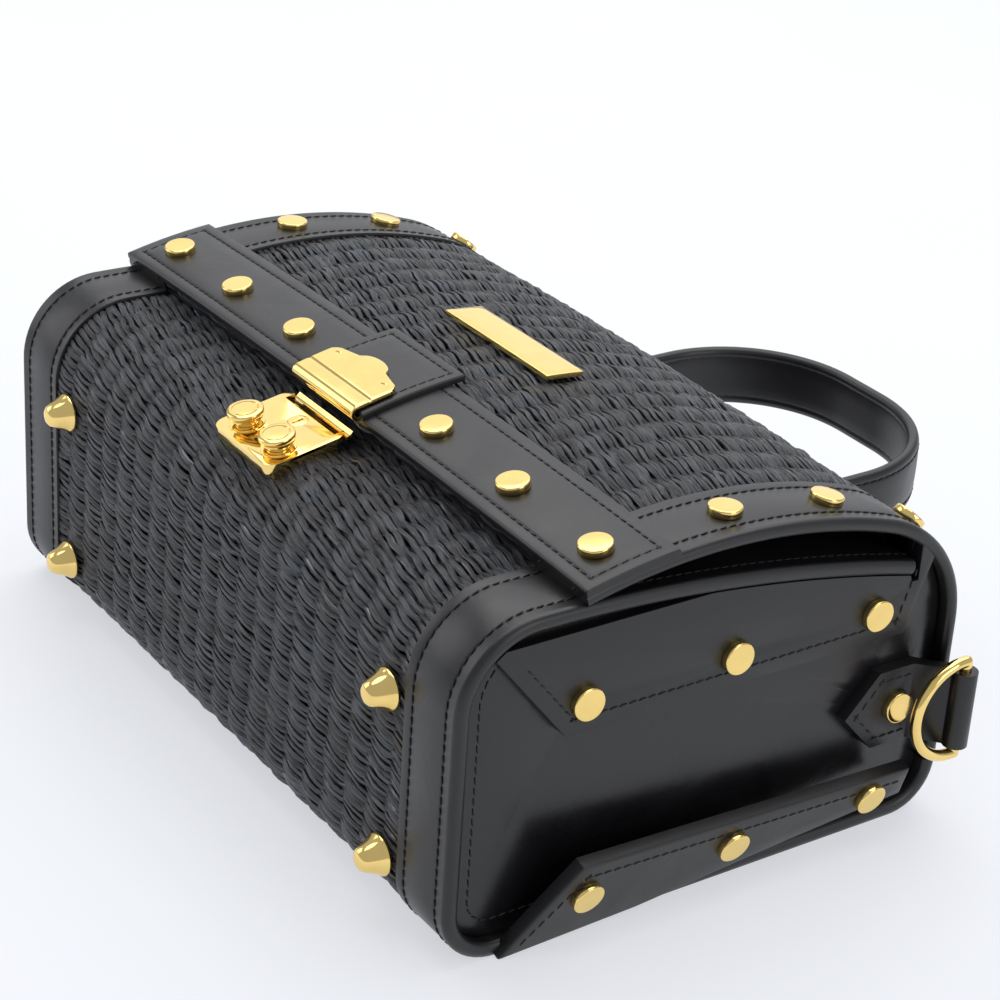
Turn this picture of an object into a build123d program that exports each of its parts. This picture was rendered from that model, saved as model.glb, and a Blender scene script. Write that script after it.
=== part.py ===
from build123d import *
from math import asin, atan, atan2, cos, degrees, radians, sin, sqrt, acos
import os

# A rigid woven box bag lying on its back. X runs across the bag, Y from its bottom to its top,
# Z from its back (on the ground) to its front. Lengths are in millimetres, angles in degrees.

os.makedirs("parts", exist_ok=True)

# Overall sizes
BAG_WIDTH = 248.0
BAG_HEIGHT = 168.0          # bottom face to the lid's top face
BAG_DEPTH = 99.0            # back face to the tray's front face at the bottom
HANDLE_RISE = 74.0          # how far the handle stands above the lid's top face

# Tray walls
TRAY_WALL = 4.0
LINING = 0.8
BACK_TOP_RADIUS = 15.0
BACK_BOTTOM_RADIUS = 17.0
FRONT_BOTTOM_RADIUS = 24.0
RIM_BELOW_TOP = 19.0        # the tray's front rim, below the lid's top face
RIM_DROP = 15.7             # how far the front wall leans back at the rim
RIM_BINDING = 12.0
BINDING_LEATHER = 1.0
BINDING_WIDTH = 24.0

# Lid
LID_WALL = 3.4
LID_CORNER_RADIUS = 40.9
LID_CORNER_DROP = 39.0      # start of the lid's top corner, behind the tray's front face
LID_CROWN_RADIUS = 184.7
LID_FRONT_EDGE = 36.4       # the lid's lower front edge, above the bottom face
LID_CLEARANCE = 0.4
HINGE_LEATHER = 1.2
HINGE_STRIP_REACH = 11.0
HINGE_GAP = 0.3
LID_LINING_START = 62.0

# Front strap, lock tab and name plate
STRAP_WIDTH = 28.9
STRAP_LEATHER = 2.0
LOCK_TAB_WIDTH = 37.0
LOCK_TAB_REACH = 69.3
NAME_PLATE_WIDTH = 52.8
NAME_PLATE_HEIGHT = 12.5
NAME_PLATE_START = 91.5
NAME_PLATE_THICKNESS = 2.0

# Rivets
RIVET_HEAD_RADIUS = 4.8
RIVET_HEAD_HEIGHT = 2.2
RIVET_SHANK_RADIUS = 1.5
RIVET_BURR_RADIUS = 3.2
RIVET_BURR_HEIGHT = 0.8
SHANK_CLEARANCE = 0.1
SEAT_SLACK = 0.2            # what a flat washer or burr stands off a curved wall
STRAP_RIVET_INSET = 13.0    # outermost strap rivet, inside the bag's side
STRAP_RIVET_HEIGHT = 48.3
LID_RIVET_HEIGHTS = (88.7, 123.8)
LID_CORNER_RIVET_ANGLE = 46.5
LID_RIVET_INSET = 12.1

# Ends of the bag
END_PANEL = 2.4
END_PANEL_INSET = 4.4
SEAT_CLEARANCE = 0.1
TAB_LEATHER = 3.8
FRONT_TAB_DROP = 37.5       # lower edge of the front tab, behind the front face
FRONT_TAB_RISE = 30.5
FRONT_TAB_START = 34.0
FRONT_TAB_LENGTH = 114.0
FRONT_TAB_SPREAD = 25.0
FRONT_TAB_TOP_SPREAD = 11.0
TAB_RIVET_PITCH = 48.6
TAB_RIVET_START = 39.4
TAB_RIVET_RISE = 9.0
BACK_TAB_LEATHER = 4.1
BACK_TAB_LEAN = 15.4
BACK_TAB_FOOT = 2.0
BACK_TAB_START = 15.7
BACK_TAB_LENGTH = 142.0
BACK_TAB_RISE = 27.5
BACK_TAB_END_RISE = 22.0
BACK_TAB_SLANT = 20.0
BACK_TAB_END_SLANT = 7.0
BACK_TAB_RIVET_RISE = 16.0

# D-rings
RING_WIRE = 3.4
RING_WIDTH = 33.0
RING_REACH = 18.0           # bar centre to the crown's outer edge
RING_BELOW_TOP = 3.5        # bar centre, below the lid's top face
RING_STANDOFF = 13.6        # bar centre, outside the end panel's face
RING_DEPTH = 38.0           # bar centre, above the back
RING_CLEARANCE = 0.05
RING_TAB_WIDTH = 24.0
RING_TAB_LEATHER = 4.0
RING_TAB_LENGTH = 34.0
RING_TAB_POINT = 11.0
RING_LOOP_LEATHER = 2.0
RING_RIVET_BELOW = 15.5

# Handle
HANDLE_SPAN = 100.0
HANDLE_WIDTH = 20.0
HANDLE_LEATHER = 4.0
HANDLE_DROP = 42.0          # handle's middle, behind the front face
HANDLE_BEND = 42.0
HANDLE_FOOT = 24.0
HANDLE_FOOT_BEND = 6.0
HANDLE_RIVET_INSET = 9.0
HANDLE_RIVET_SPACING = 8.4
HANDLE_RIVET_HEAD = 3.6

# Feet
FOOT_RADIUS = 6.0
FOOT_TIP_RADIUS = 3.6
FOOT_HEIGHT = 7.5
FOOT_SHANK = 2.0
FOOT_WASHER = 1.2
FOOT_WASHER_RADIUS = 3.4
FOOT_SPACING = 184.2
FOOT_DEPTH = 18.5           # rear feet, above the back
FOOT_DROP = 30.0            # front feet, behind the front face

# Lock
LOCK_WIDTH = 32.3
LOCK_LENGTH = 26.1
LOCK_HEIGHT = 8.0
LOCK_CORNER = 4.0
LOCK_TILT = 10.8
LOCK_CENTRE = 20.15
LOCK_TOP_DROP = 0.25        # the case's top centre, behind the tray's front face
GROOVE_RADIUS = 3.2
GROOVE_WIDTH = 27.0
GROOVE_RISE = 1.4
GROOVE_INSET = 0.45
HOUSING_WIDTH = 29.2
HOUSING_LOW = 11.0
HOUSING_HIGH = 9.5
HOUSING_DEPTH = 11.6
BACK_PLATE = 1.4
BACK_PLATE_MARGIN = 1.5
BUTTON_SPACING = 17.6
BUTTON_DROP = 5.4
BUTTON_RADIUS = 5.3
BUTTON_HEAD = 2.6
BUTTON_NECK_RADIUS = 3.4
BUTTON_NECK = 2.2
BUTTON_COLLAR = 0.85
BUTTON_COLLAR_HEIGHT = 1.5
BUTTON_STEM_DEPTH = 5.5
COLLAR_RING = 0.5
RUNNING_CLEARANCE = 0.05
SPRING_WIRE = 0.6
SPRING_RADIUS = 3.0
SPRING_TURNS = 3
BARREL_RADIUS = 2.9
BARREL_RISE = 5.9
BARREL_DEPTH = 9.5
KEY_SLOT = (1.0, 3.4)
KEY_SLOT_DEPTH = 4.0
SCREW_RADIUS = 1.2
SCREW_HEAD_RADIUS = 2.2
SCREW_HEAD = 1.2
SCREW_LENGTH = 4.0
SCREW_HEIGHTS = (-7.5, 6.5)
SCREW_SPACING = 21.0

# Hasp
HASP_WIDTH = 33.0
HASP_METAL = 1.8
HASP_REACH = 51.5
HASP_LOBE_WIDTH = 19.0
HASP_LOBE = 6.0
HASP_TONGUE_WIDTH = 26.0
HASP_BEND = 2.0

# Derived places
half_width = BAG_WIDTH / 2
hinge_depth = BACK_TOP_RADIUS
strap_rivet_pitch = (half_width - STRAP_RIVET_INSET) / 3
front_tab_depth = BAG_DEPTH - FRONT_TAB_DROP
handle_depth = BAG_DEPTH - HANDLE_DROP
rim_height = BAG_HEIGHT - RIM_BELOW_TOP
front_run = rim_height - FRONT_BOTTOM_RADIUS
front_radius = (front_run ** 2 + RIM_DROP ** 2) / (2 * RIM_DROP)
front_turn = degrees(2 * atan(RIM_DROP / front_run))
end_face = half_width - END_PANEL_INSET
origin_shift = (BAG_HEIGHT + HANDLE_RISE - FOOT_HEIGHT) / 2


def tray_front(height):
    """Depth of the tray's outer front face at a height."""
    run = height - FRONT_BOTTOM_RADIUS
    return BAG_DEPTH - front_radius + sqrt(front_radius ** 2 - run ** 2)


# The lid's corner and crown arcs share a tangent, and the crown ends at the lid's front edge.
corner_centre = Vector(BAG_HEIGHT - LID_CORNER_RADIUS, BAG_DEPTH - LID_CORNER_DROP)
front_edge = Vector(LID_FRONT_EDGE, tray_front(LID_FRONT_EDGE) + LID_CLEARANCE + LID_WALL)
to_edge = front_edge - corner_centre
radius_step = LID_CROWN_RADIUS - LID_CORNER_RADIUS
lean = (LID_CROWN_RADIUS ** 2 - radius_step ** 2 - to_edge.length ** 2) / (2 * radius_step)
corner_turn = degrees(atan2(to_edge.Y, to_edge.X) - acos(lean / to_edge.length))
crown_centre = corner_centre - radius_step * Vector(1, 0).rotate(Axis.Z, corner_turn)
to_edge = front_edge - crown_centre
crown_turn = degrees(atan2(to_edge.Y, to_edge.X)) - corner_turn


def tray_outline(depth):
    """The tray's side outline, depth inside its outer face, from the hinge to the front rim."""
    first = CenterArc((BAG_HEIGHT - BACK_TOP_RADIUS, BACK_TOP_RADIUS), BACK_TOP_RADIUS - depth, 0, -90)
    Line((BAG_HEIGHT - BACK_TOP_RADIUS, depth), (BACK_BOTTOM_RADIUS, depth))
    CenterArc((BACK_BOTTOM_RADIUS, BACK_BOTTOM_RADIUS), BACK_BOTTOM_RADIUS - depth, -90, -90)
    Line((depth, BACK_BOTTOM_RADIUS), (depth, BAG_DEPTH - FRONT_BOTTOM_RADIUS))
    centre = (FRONT_BOTTOM_RADIUS, BAG_DEPTH - FRONT_BOTTOM_RADIUS)
    CenterArc(centre, FRONT_BOTTOM_RADIUS - depth, 180, -90)
    centre = (FRONT_BOTTOM_RADIUS, BAG_DEPTH - front_radius)
    last = CenterArc(centre, front_radius - depth, 90, -front_turn)
    return first @ 0, last @ 1


def lid_outline(depth):
    """The lid's side outline, depth inside its outer face, from the hinge to the front edge."""
    low = (BAG_HEIGHT - depth, hinge_depth + HINGE_GAP)
    first = Line(low, (BAG_HEIGHT - depth, corner_centre.Y))
    CenterArc(corner_centre, LID_CORNER_RADIUS - depth, 0, corner_turn)
    last = CenterArc(crown_centre, LID_CROWN_RADIUS - depth, corner_turn, crown_turn)
    return first @ 0, last @ 1


def band(outline, near, far, start, width, mode=Mode.ADD):
    """A strip of wall between two depths of an outline, from X = start over a width."""
    with BuildSketch(Plane.YZ.offset(start)) as section:
        with BuildLine():
            near_ends = outline(near)
            far_ends = outline(far)
            Line(near_ends[0], far_ends[0])
            Line(near_ends[1], far_ends[1])
        make_face()
    extrude(section.sketch, amount=width, mode=mode)


def keep(heights, depths=(-20, 200), width=400, mode=Mode.INTERSECT):
    """Keep (or cut away) what lies between two heights and two depths."""
    centre = ((heights[0] + heights[1]) / 2, (depths[0] + depths[1]) / 2)
    with Locations((0, centre[0], centre[1])):
        Box(width, heights[1] - heights[0], depths[1] - depths[0], mode=mode)


def drill(places, radius, length=30):
    """Round holes through the part at the given places, along their own Z."""
    with Locations(*places):
        Cylinder(radius + SHANK_CLEARANCE, length, mode=Mode.SUBTRACT)


def save(part, name):
    """Move a finished piece to the bag's own origin and write it."""
    part = Pos(0, -origin_shift, 0) * part
    part.label = name
    export_step(part, f"parts/{name}.step")


# Places of the rivets: each is a location on an outer face, with Z along the outward normal.
def on_arc(centre, radius, angle, across, lift=0.0):
    """A location on an arc of the side outline, at X = across."""
    point = centre + (radius + lift) * Vector(1, 0).rotate(Axis.Z, angle)
    normal = (0, cos(radians(angle)), sin(radians(angle)))
    return Plane((across, point.X, point.Y), x_dir=(1, 0, 0), z_dir=normal).location


def on_crown(height, across, lift=0.0):
    """A location on the lid's crown arc at a height."""
    angle = 90 - degrees(asin((height - crown_centre.X) / (LID_CROWN_RADIUS + lift)))
    return on_arc(crown_centre, LID_CROWN_RADIUS, angle, across, lift)


def on_end(side, height, depth, lift=0.0):
    """A location on an end panel's outer face."""
    point = (side * (end_face + lift), height, depth)
    return Plane(point, x_dir=(0, 1, 0), z_dir=(side, 0, 0)).location


strap_rivet_places = [
    on_crown(STRAP_RIVET_HEIGHT, side * (step + 1) * strap_rivet_pitch, STRAP_LEATHER)
    for side in (-1, 1)
    for step in range(3)
]
lid_rivet_places = {}
for side in (-1, 1):
    across = side * (half_width - LID_RIVET_INSET)
    lid_rivet_places[side] = [on_crown(height, across) for height in LID_RIVET_HEIGHTS]
    lid_rivet_places[side].append(
        on_arc(corner_centre, LID_CORNER_RADIUS, LID_CORNER_RIVET_ANGLE, across)
    )
front_tab_rivet_places = [
    on_end(side, TAB_RIVET_START + step * TAB_RIVET_PITCH, front_tab_depth + TAB_RIVET_RISE, TAB_LEATHER)
    for side in (-1, 1)
    for step in range(3)
]
ring_height = BAG_HEIGHT - RING_BELOW_TOP
ring_rivet_places = [
    on_end(side, ring_height - RING_RIVET_BELOW, RING_DEPTH, RING_TAB_LEATHER)
    for side in (-1, 1)
]
handle_rivet_places = [
    Plane(
        (
            side * (HANDLE_SPAN / 2 + HANDLE_FOOT - HANDLE_RIVET_INSET) + row * HANDLE_RIVET_SPACING / 2,
            BAG_HEIGHT + HANDLE_LEATHER,
            handle_depth,
        ),
        x_dir=(1, 0, 0),
        z_dir=(0, 1, 0),
    ).location
    for side in (-1, 1)
    for row in (-1, 1)
]


def back_tab_plane(side):
    """Plane of a back tab's outer face: X along the bag's height, Y up the leaning tab."""
    out = (side * cos(radians(BACK_TAB_LEAN)), 0, -sin(radians(BACK_TAB_LEAN)))
    return Plane((side * (half_width + BACK_TAB_FOOT), 0, 0), x_dir=(0, side, 0), z_dir=out)


back_tab_rivet_places = [
    (
        back_tab_plane(side)
        * Pos(side * (TAB_RIVET_START + step * TAB_RIVET_PITCH), BACK_TAB_RIVET_RISE, 0)
    )
    for side in (-1, 1)
    for step in range(3)
]

# The lock's own plane: X across, Y up the tilted case, Z out of its top face.
lock_plane = Plane(
    (0, LOCK_CENTRE, BAG_DEPTH - LOCK_TOP_DROP),
    x_dir=(1, 0, 0),
    z_dir=(0, -sin(radians(LOCK_TILT)), cos(radians(LOCK_TILT))),
)
button_places = [(side * BUTTON_SPACING / 2, -BUTTON_DROP) for side in (-1, 1)]
screw_places = [
    (0, SCREW_HEIGHTS[0]),
    (-SCREW_SPACING / 2, SCREW_HEIGHTS[1]),
    (SCREW_SPACING / 2, SCREW_HEIGHTS[1]),
]
housing_centre = (HOUSING_HIGH - HOUSING_LOW) / 2
housing_length = HOUSING_HIGH + HOUSING_LOW
foot_places = [
    Plane((side * FOOT_SPACING / 2, 0, depth), x_dir=(1, 0, 0), z_dir=(0, -1, 0)).location
    for side in (-1, 1)
    for depth in (FOOT_DEPTH, BAG_DEPTH - FOOT_DROP)
]


def cut_lock_opening():
    """The hole that the lock's housing passes through."""
    with BuildSketch(lock_plane) as opening:
        with Locations((0, housing_centre)):
            Rectangle(HOUSING_WIDTH + 4 * SHANK_CLEARANCE, housing_length + 4 * SHANK_CLEARANCE)
    extrude(opening.sketch, amount=-HOUSING_DEPTH, mode=Mode.SUBTRACT)


# ---- Tray ----
panel_half = half_width - BINDING_WIDTH
tongue_half = half_width - BINDING_LEATHER

with BuildPart() as wicker_body:
    band(tray_outline, 0, TRAY_WALL, -panel_half, 2 * panel_half)
    band(tray_outline, BINDING_LEATHER, TRAY_WALL - BINDING_LEATHER, -tongue_half, 2 * tongue_half)
    cut_lock_opening()
    drill(foot_places, FOOT_SHANK)
save(wicker_body.part, "wicker_body")

with BuildPart() as body_lining:
    band(tray_outline, TRAY_WALL, TRAY_WALL + LINING, -panel_half, 2 * panel_half)
    keep((-10, rim_height - RIM_BINDING))
    cut_lock_opening()
    drill(foot_places, FOOT_SHANK)
save(body_lining.part, "body_lining")

with BuildPart() as front_rim_binding:
    band(tray_outline, -BINDING_LEATHER, 0, -panel_half, 2 * panel_half)
    band(tray_outline, TRAY_WALL, TRAY_WALL + BINDING_LEATHER, -panel_half, 2 * panel_half)
    keep((rim_height - RIM_BINDING, rim_height + 10), (BAG_DEPTH / 2, 2 * BAG_DEPTH))
    rim_plane = Plane(
        (0, rim_height, BAG_DEPTH - RIM_DROP),
        x_dir=(1, 0, 0),
        z_dir=(0, cos(radians(front_turn)), -sin(radians(front_turn))),
    )
    with BuildSketch(rim_plane):
        with Locations((0, TRAY_WALL / 2)):
            Rectangle(2 * panel_half, TRAY_WALL + 2 * BINDING_LEATHER)
    extrude(amount=BINDING_LEATHER)
save(front_rim_binding.part, "front_rim_binding")

with BuildPart() as back_hinge_strip:
    band(tray_outline, -HINGE_LEATHER, 0, -panel_half, 2 * panel_half)
    keep((BAG_HEIGHT / 2, 2 * BAG_HEIGHT), (hinge_depth - HINGE_STRIP_REACH, hinge_depth))
save(back_hinge_strip.part, "back_hinge_strip")


def binding(outline, wall, side):
    """A leather channel round one side edge of a wall, open towards the middle."""
    start = panel_half if side > 0 else -half_width
    band(outline, 0, wall, start, BINDING_WIDTH)
    start = panel_half if side > 0 else -tongue_half
    width = BINDING_WIDTH - BINDING_LEATHER
    band(outline, BINDING_LEATHER, wall - BINDING_LEATHER, start, width, Mode.SUBTRACT)


# The part of each end that the tray and the closed lid leave open.
with BuildSketch(Plane.YZ) as tray_space:
    with BuildLine():
        Line(*tray_outline(TRAY_WALL + SEAT_CLEARANCE))
    make_face()
with BuildSketch(Plane.YZ) as lid_space:
    with BuildLine():
        Line(*lid_outline(LID_WALL + LID_CLEARANCE))
    make_face()
    past_rim = rim_height + 2 * BINDING_LEATHER
    with BuildLine():
        Polyline(
            (past_rim, hinge_depth + 2 * HINGE_GAP),
            (2 * BAG_HEIGHT, hinge_depth + 2 * HINGE_GAP),
            (2 * BAG_HEIGHT, 2 * BAG_DEPTH),
            (past_rim, 2 * BAG_DEPTH),
            close=True,
        )
    make_face(mode=Mode.INTERSECT)
    below_rim = BAG_DEPTH - RIM_DROP - TRAY_WALL - 2 * BINDING_LEATHER
    with BuildLine():
        Polyline(
            (rim_height - RIM_BINDING, hinge_depth + TRAY_WALL),
            (past_rim + BINDING_LEATHER, hinge_depth + TRAY_WALL),
            (past_rim + BINDING_LEATHER, below_rim),
            (rim_height - RIM_BINDING, below_rim),
            close=True,
        )
    make_face()
end_space = tray_space.sketch_local + lid_space.sketch_local


def end_slab(side, near, thickness):
    """The end opening's shape, near outside the end panel's face, a thickness outwards."""
    with BuildSketch(Plane.YZ.offset(side * (end_face + near))) as slab:
        add(end_space)
    extrude(slab.sketch, amount=side * thickness)


# ---- Ends of the tray ----
for side, hand in ((-1, "left"), (1, "right")):
    with BuildPart() as body_binding:
        binding(tray_outline, TRAY_WALL, side)
    save(body_binding.part, f"body_binding_{hand}")

    with BuildPart() as end_panel:
        end_slab(side, -END_PANEL, END_PANEL)
        drill(front_tab_rivet_places, RIVET_SHANK_RADIUS)
        drill(ring_rivet_places, RIVET_SHANK_RADIUS)
    save(end_panel.part, f"end_panel_{hand}")

    with BuildPart() as front_tab:
        end_slab(side, 0, TAB_LEATHER)
        with BuildSketch(Plane.YZ.offset(side * end_face)):
            with BuildLine():
                top = front_tab_depth + FRONT_TAB_RISE
                end = FRONT_TAB_START + FRONT_TAB_LENGTH
                Polyline(
                    (FRONT_TAB_START, front_tab_depth),
                    (end, front_tab_depth),
                    (end + FRONT_TAB_TOP_SPREAD, top),
                    (FRONT_TAB_START - FRONT_TAB_SPREAD, top),
                    close=True,
                )
            make_face()
        extrude(amount=side * TAB_LEATHER, mode=Mode.INTERSECT)
        drill(front_tab_rivet_places, RIVET_SHANK_RADIUS)
    save(front_tab.part, f"front_tab_{hand}")

    with BuildPart() as binding_space:
        width = BINDING_WIDTH + SEAT_CLEARANCE
        start = panel_half if side > 0 else -panel_half - width
        band(tray_outline, -BINDING_WIDTH / 2, TRAY_WALL + SEAT_CLEARANCE, start, width)

    with BuildPart() as back_tab:
        with BuildSketch(back_tab_plane(side)):
            with BuildLine():
                end = BACK_TAB_START + BACK_TAB_LENGTH
                Polyline(
                    (side * BACK_TAB_START, -BACK_TAB_FOOT),
                    (side * end, -BACK_TAB_FOOT),
                    (side * (end - BACK_TAB_END_SLANT), BACK_TAB_END_RISE),
                    (side * (BACK_TAB_START + BACK_TAB_SLANT), BACK_TAB_RISE),
                    close=True,
                )
            make_face()
        extrude(amount=-BACK_TAB_LEATHER)
        keep((0, BAG_HEIGHT), (0, BAG_DEPTH))
        add(binding_space.part, mode=Mode.SUBTRACT)
        drill(back_tab_rivet_places, RIVET_SHANK_RADIUS)
    save(back_tab.part, f"back_tab_{hand}")

# ---- D-rings and their tabs ----
ring_rod = RING_WIRE / 2
loop_radius = ring_rod + RING_LOOP_LEATHER
ring_tab_low = RING_DEPTH - RING_TAB_WIDTH / 2
ring_tab_bottom = ring_height - RING_TAB_LENGTH
reach = RING_WIDTH / 2 - ring_rod
straight = RING_REACH - ring_rod - reach
for side, hand in ((-1, "left"), (1, "right")):
    bar = end_face + RING_STANDOFF
    with BuildPart() as d_ring_tab:
        with BuildSketch(Plane.XY.offset(ring_tab_low)):
            with BuildLine():
                outer = end_face + RING_TAB_LEATHER
                Polyline(
                    (side * end_face, ring_tab_bottom),
                    (side * outer, ring_tab_bottom),
                    (side * outer, ring_height - 2.6 * RING_TAB_LEATHER),
                    (side * (bar - RING_LOOP_LEATHER), ring_height - 0.9 * loop_radius),
                    (side * bar, ring_height),
                    (side * (bar - loop_radius), ring_height + RING_LOOP_LEATHER / 2),
                    (side * (half_width + HINGE_LEATHER), ring_height - RING_TAB_LEATHER),
                    (side * end_face, ring_height - 2.2 * RING_TAB_LEATHER),
                    close=True,
                )
            make_face()
            with Locations((side * bar, ring_height)):
                Circle(loop_radius)
                Circle(ring_rod + RING_CLEARANCE, mode=Mode.SUBTRACT)
        extrude(amount=RING_TAB_WIDTH)
        with BuildSketch(Plane.YZ):
            with BuildLine():
                shoulder = ring_tab_bottom + RING_TAB_POINT
                Polyline(
                    (ring_tab_bottom, RING_DEPTH),
                    (shoulder, ring_tab_low),
                    (2 * BAG_HEIGHT, ring_tab_low),
                    (2 * BAG_HEIGHT, ring_tab_low + RING_TAB_WIDTH),
                    (shoulder, ring_tab_low + RING_TAB_WIDTH),
                    close=True,
                )
            make_face()
        extrude(amount=BAG_WIDTH, both=True, mode=Mode.INTERSECT)
        drill(ring_rivet_places, RIVET_SHANK_RADIUS)
    save(d_ring_tab.part, f"d_ring_tab_{hand}")

    with BuildPart() as d_ring:
        Cylinder(ring_rod, 2 * reach, rotation=(0, 90, 0))
        with Locations((-reach, 0), (reach, 0)):
            Sphere(ring_rod)
        with Locations((-reach, straight / 2), (reach, straight / 2)):
            Cylinder(ring_rod, straight, rotation=(90, 0, 0))
        with Locations((0, straight)):
            whole = (Align.CENTER, Align.NONE, Align.CENTER)
            Torus(reach, ring_rod, major_angle=180, align=whole)
    ring_place = Plane((side * bar, ring_height, RING_DEPTH), x_dir=(0, 0, 1), z_dir=(1, 0, 0))
    save(ring_place.location * d_ring.part, f"d_ring_{hand}")


# ---- Rivets ----
def rivet(grip, head_radius):
    """A rivet with its head's seat at Z = 0, holding a grip of leather and wicker below it."""
    low = (Align.CENTER, Align.CENTER, Align.MAX)
    grip += SEAT_SLACK
    with BuildPart() as one:
        Cylinder(head_radius, RIVET_HEAD_HEIGHT, align=(Align.CENTER, Align.CENTER, Align.MIN))
        fillet(one.edges().group_by(Axis.Z)[-1], RIVET_HEAD_HEIGHT * 0.4)
        Cylinder(RIVET_SHANK_RADIUS, grip + RIVET_BURR_HEIGHT, align=low)
        with Locations((0, 0, -grip)):
            Cylinder(RIVET_BURR_RADIUS, RIVET_BURR_HEIGHT, align=low)
    return one.part


def save_rivets(places, grip, name, head_radius=RIVET_HEAD_RADIUS):
    """Write one group of like rivets."""
    one = rivet(grip, head_radius)
    save(Compound([place * one for place in places]), name)


save_rivets(strap_rivet_places, STRAP_LEATHER + LID_WALL, "strap_rivets")
save_rivets(lid_rivet_places[-1], LID_WALL, "lid_rivets_left")
save_rivets(lid_rivet_places[1], LID_WALL, "lid_rivets_right")
save_rivets(front_tab_rivet_places, TAB_LEATHER + END_PANEL, "front_tab_rivets")
save_rivets(back_tab_rivet_places, BACK_TAB_LEATHER, "back_tab_rivets")
save_rivets(ring_rivet_places, RING_TAB_LEATHER + END_PANEL, "d_ring_tab_rivets")
handle_grip = HANDLE_LEATHER + LID_WALL + LINING
save_rivets(handle_rivet_places, handle_grip, "handle_rivets", HANDLE_RIVET_HEAD)

# ---- Feet ----
with BuildPart() as foot_stud:
    with BuildSketch(Plane.XZ):
        with BuildLine():
            shank_end = -(TRAY_WALL + LINING + SEAT_SLACK + FOOT_WASHER)
            Polyline(
                (0, shank_end),
                (FOOT_SHANK, shank_end),
                (FOOT_SHANK, 0),
                (FOOT_RADIUS, 0),
                (FOOT_TIP_RADIUS, FOOT_HEIGHT),
                (0, FOOT_HEIGHT),
                close=True,
            )
        make_face()
    revolve(axis=Axis.Z)
    fillet(foot_stud.edges().group_by(Axis.Z)[-1], FOOT_TIP_RADIUS * 0.6)
save(Compound([place * foot_stud.part for place in foot_places]), "foot_studs")

with BuildPart() as foot_washer:
    with Locations((0, 0, -TRAY_WALL - LINING - SEAT_SLACK)):
        low = (Align.CENTER, Align.CENTER, Align.MAX)
        Cylinder(FOOT_WASHER_RADIUS, FOOT_WASHER, align=low)
        Cylinder(FOOT_SHANK + RUNNING_CLEARANCE, FOOT_WASHER, align=low, mode=Mode.SUBTRACT)
save(Compound([place * foot_washer.part for place in foot_places]), "foot_washers")

# ---- Lid ----
with BuildPart() as wicker_lid:
    band(lid_outline, 0, LID_WALL, -panel_half, 2 * panel_half)
    band(lid_outline, BINDING_LEATHER, LID_WALL - BINDING_LEATHER, -tongue_half, 2 * tongue_half)
    drill(strap_rivet_places, RIVET_SHANK_RADIUS)
    for places in lid_rivet_places.values():
        drill(places, RIVET_SHANK_RADIUS)
    drill(handle_rivet_places, RIVET_SHANK_RADIUS)
save(wicker_lid.part, "wicker_lid")

with BuildPart() as lid_lining:
    band(lid_outline, LID_WALL, LID_WALL + LINING, -panel_half, 2 * panel_half)
    keep((LID_LINING_START, 2 * BAG_HEIGHT))
    drill(handle_rivet_places, RIVET_SHANK_RADIUS)
save(lid_lining.part, "lid_lining")

with BuildPart() as lid_hinge_strip:
    band(lid_outline, -HINGE_LEATHER, 0, -panel_half, 2 * panel_half)
    keep((BAG_HEIGHT / 2, 2 * BAG_HEIGHT), (hinge_depth, hinge_depth + HINGE_STRIP_REACH))
save(lid_hinge_strip.part, "lid_hinge_strip")

for side, hand in ((-1, "left"), (1, "right")):
    with BuildPart() as lid_binding:
        binding(lid_outline, LID_WALL, side)
        drill(lid_rivet_places[side], RIVET_SHANK_RADIUS)
        drill(strap_rivet_places, RIVET_SHANK_RADIUS)
    save(lid_binding.part, f"lid_binding_{hand}")

with BuildPart() as front_strap:
    band(lid_outline, -STRAP_LEATHER, 0, -half_width, BAG_WIDTH)
    keep((0, LID_FRONT_EDGE + STRAP_WIDTH), (BAG_DEPTH / 2, 2 * BAG_DEPTH))
    drill(strap_rivet_places, RIVET_SHANK_RADIUS)
save(front_strap.part, "front_strap")

with BuildPart() as lock_tab:
    band(lid_outline, -2 * STRAP_LEATHER, -STRAP_LEATHER, -LOCK_TAB_WIDTH / 2, LOCK_TAB_WIDTH)
    keep((0, LOCK_TAB_REACH), (BAG_DEPTH / 2, 2 * BAG_DEPTH))
save(lock_tab.part, "lock_tab")

with BuildPart() as name_plate:
    band(lid_outline, -NAME_PLATE_THICKNESS, 0, -NAME_PLATE_WIDTH / 2, NAME_PLATE_WIDTH)
    keep((NAME_PLATE_START, NAME_PLATE_START + NAME_PLATE_HEIGHT), (BAG_DEPTH / 2, 2 * BAG_DEPTH))
    fillet(name_plate.edges().filter_by(Axis.Z, tolerance=20), NAME_PLATE_THICKNESS / 2)
save(name_plate.part, "name_plate")

# The hasp plate lies on the lock tab and rolls down to a tongue in the case's groove.
groove = lock_plane * Pos(0, LOCK_LENGTH / 2 - GROOVE_INSET, GROOVE_RISE)
tongue = Vector(groove.position.Y, groove.position.Z)
plate_lift = 2 * STRAP_LEATHER + HASP_METAL / 2 + 2 * SEAT_SLACK


def over_tab(height):
    """A point on the hasp plate's middle surface, in the side view."""
    place = on_crown(height, 0, plate_lift)
    return (place.position.Y, place.position.Z)


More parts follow.
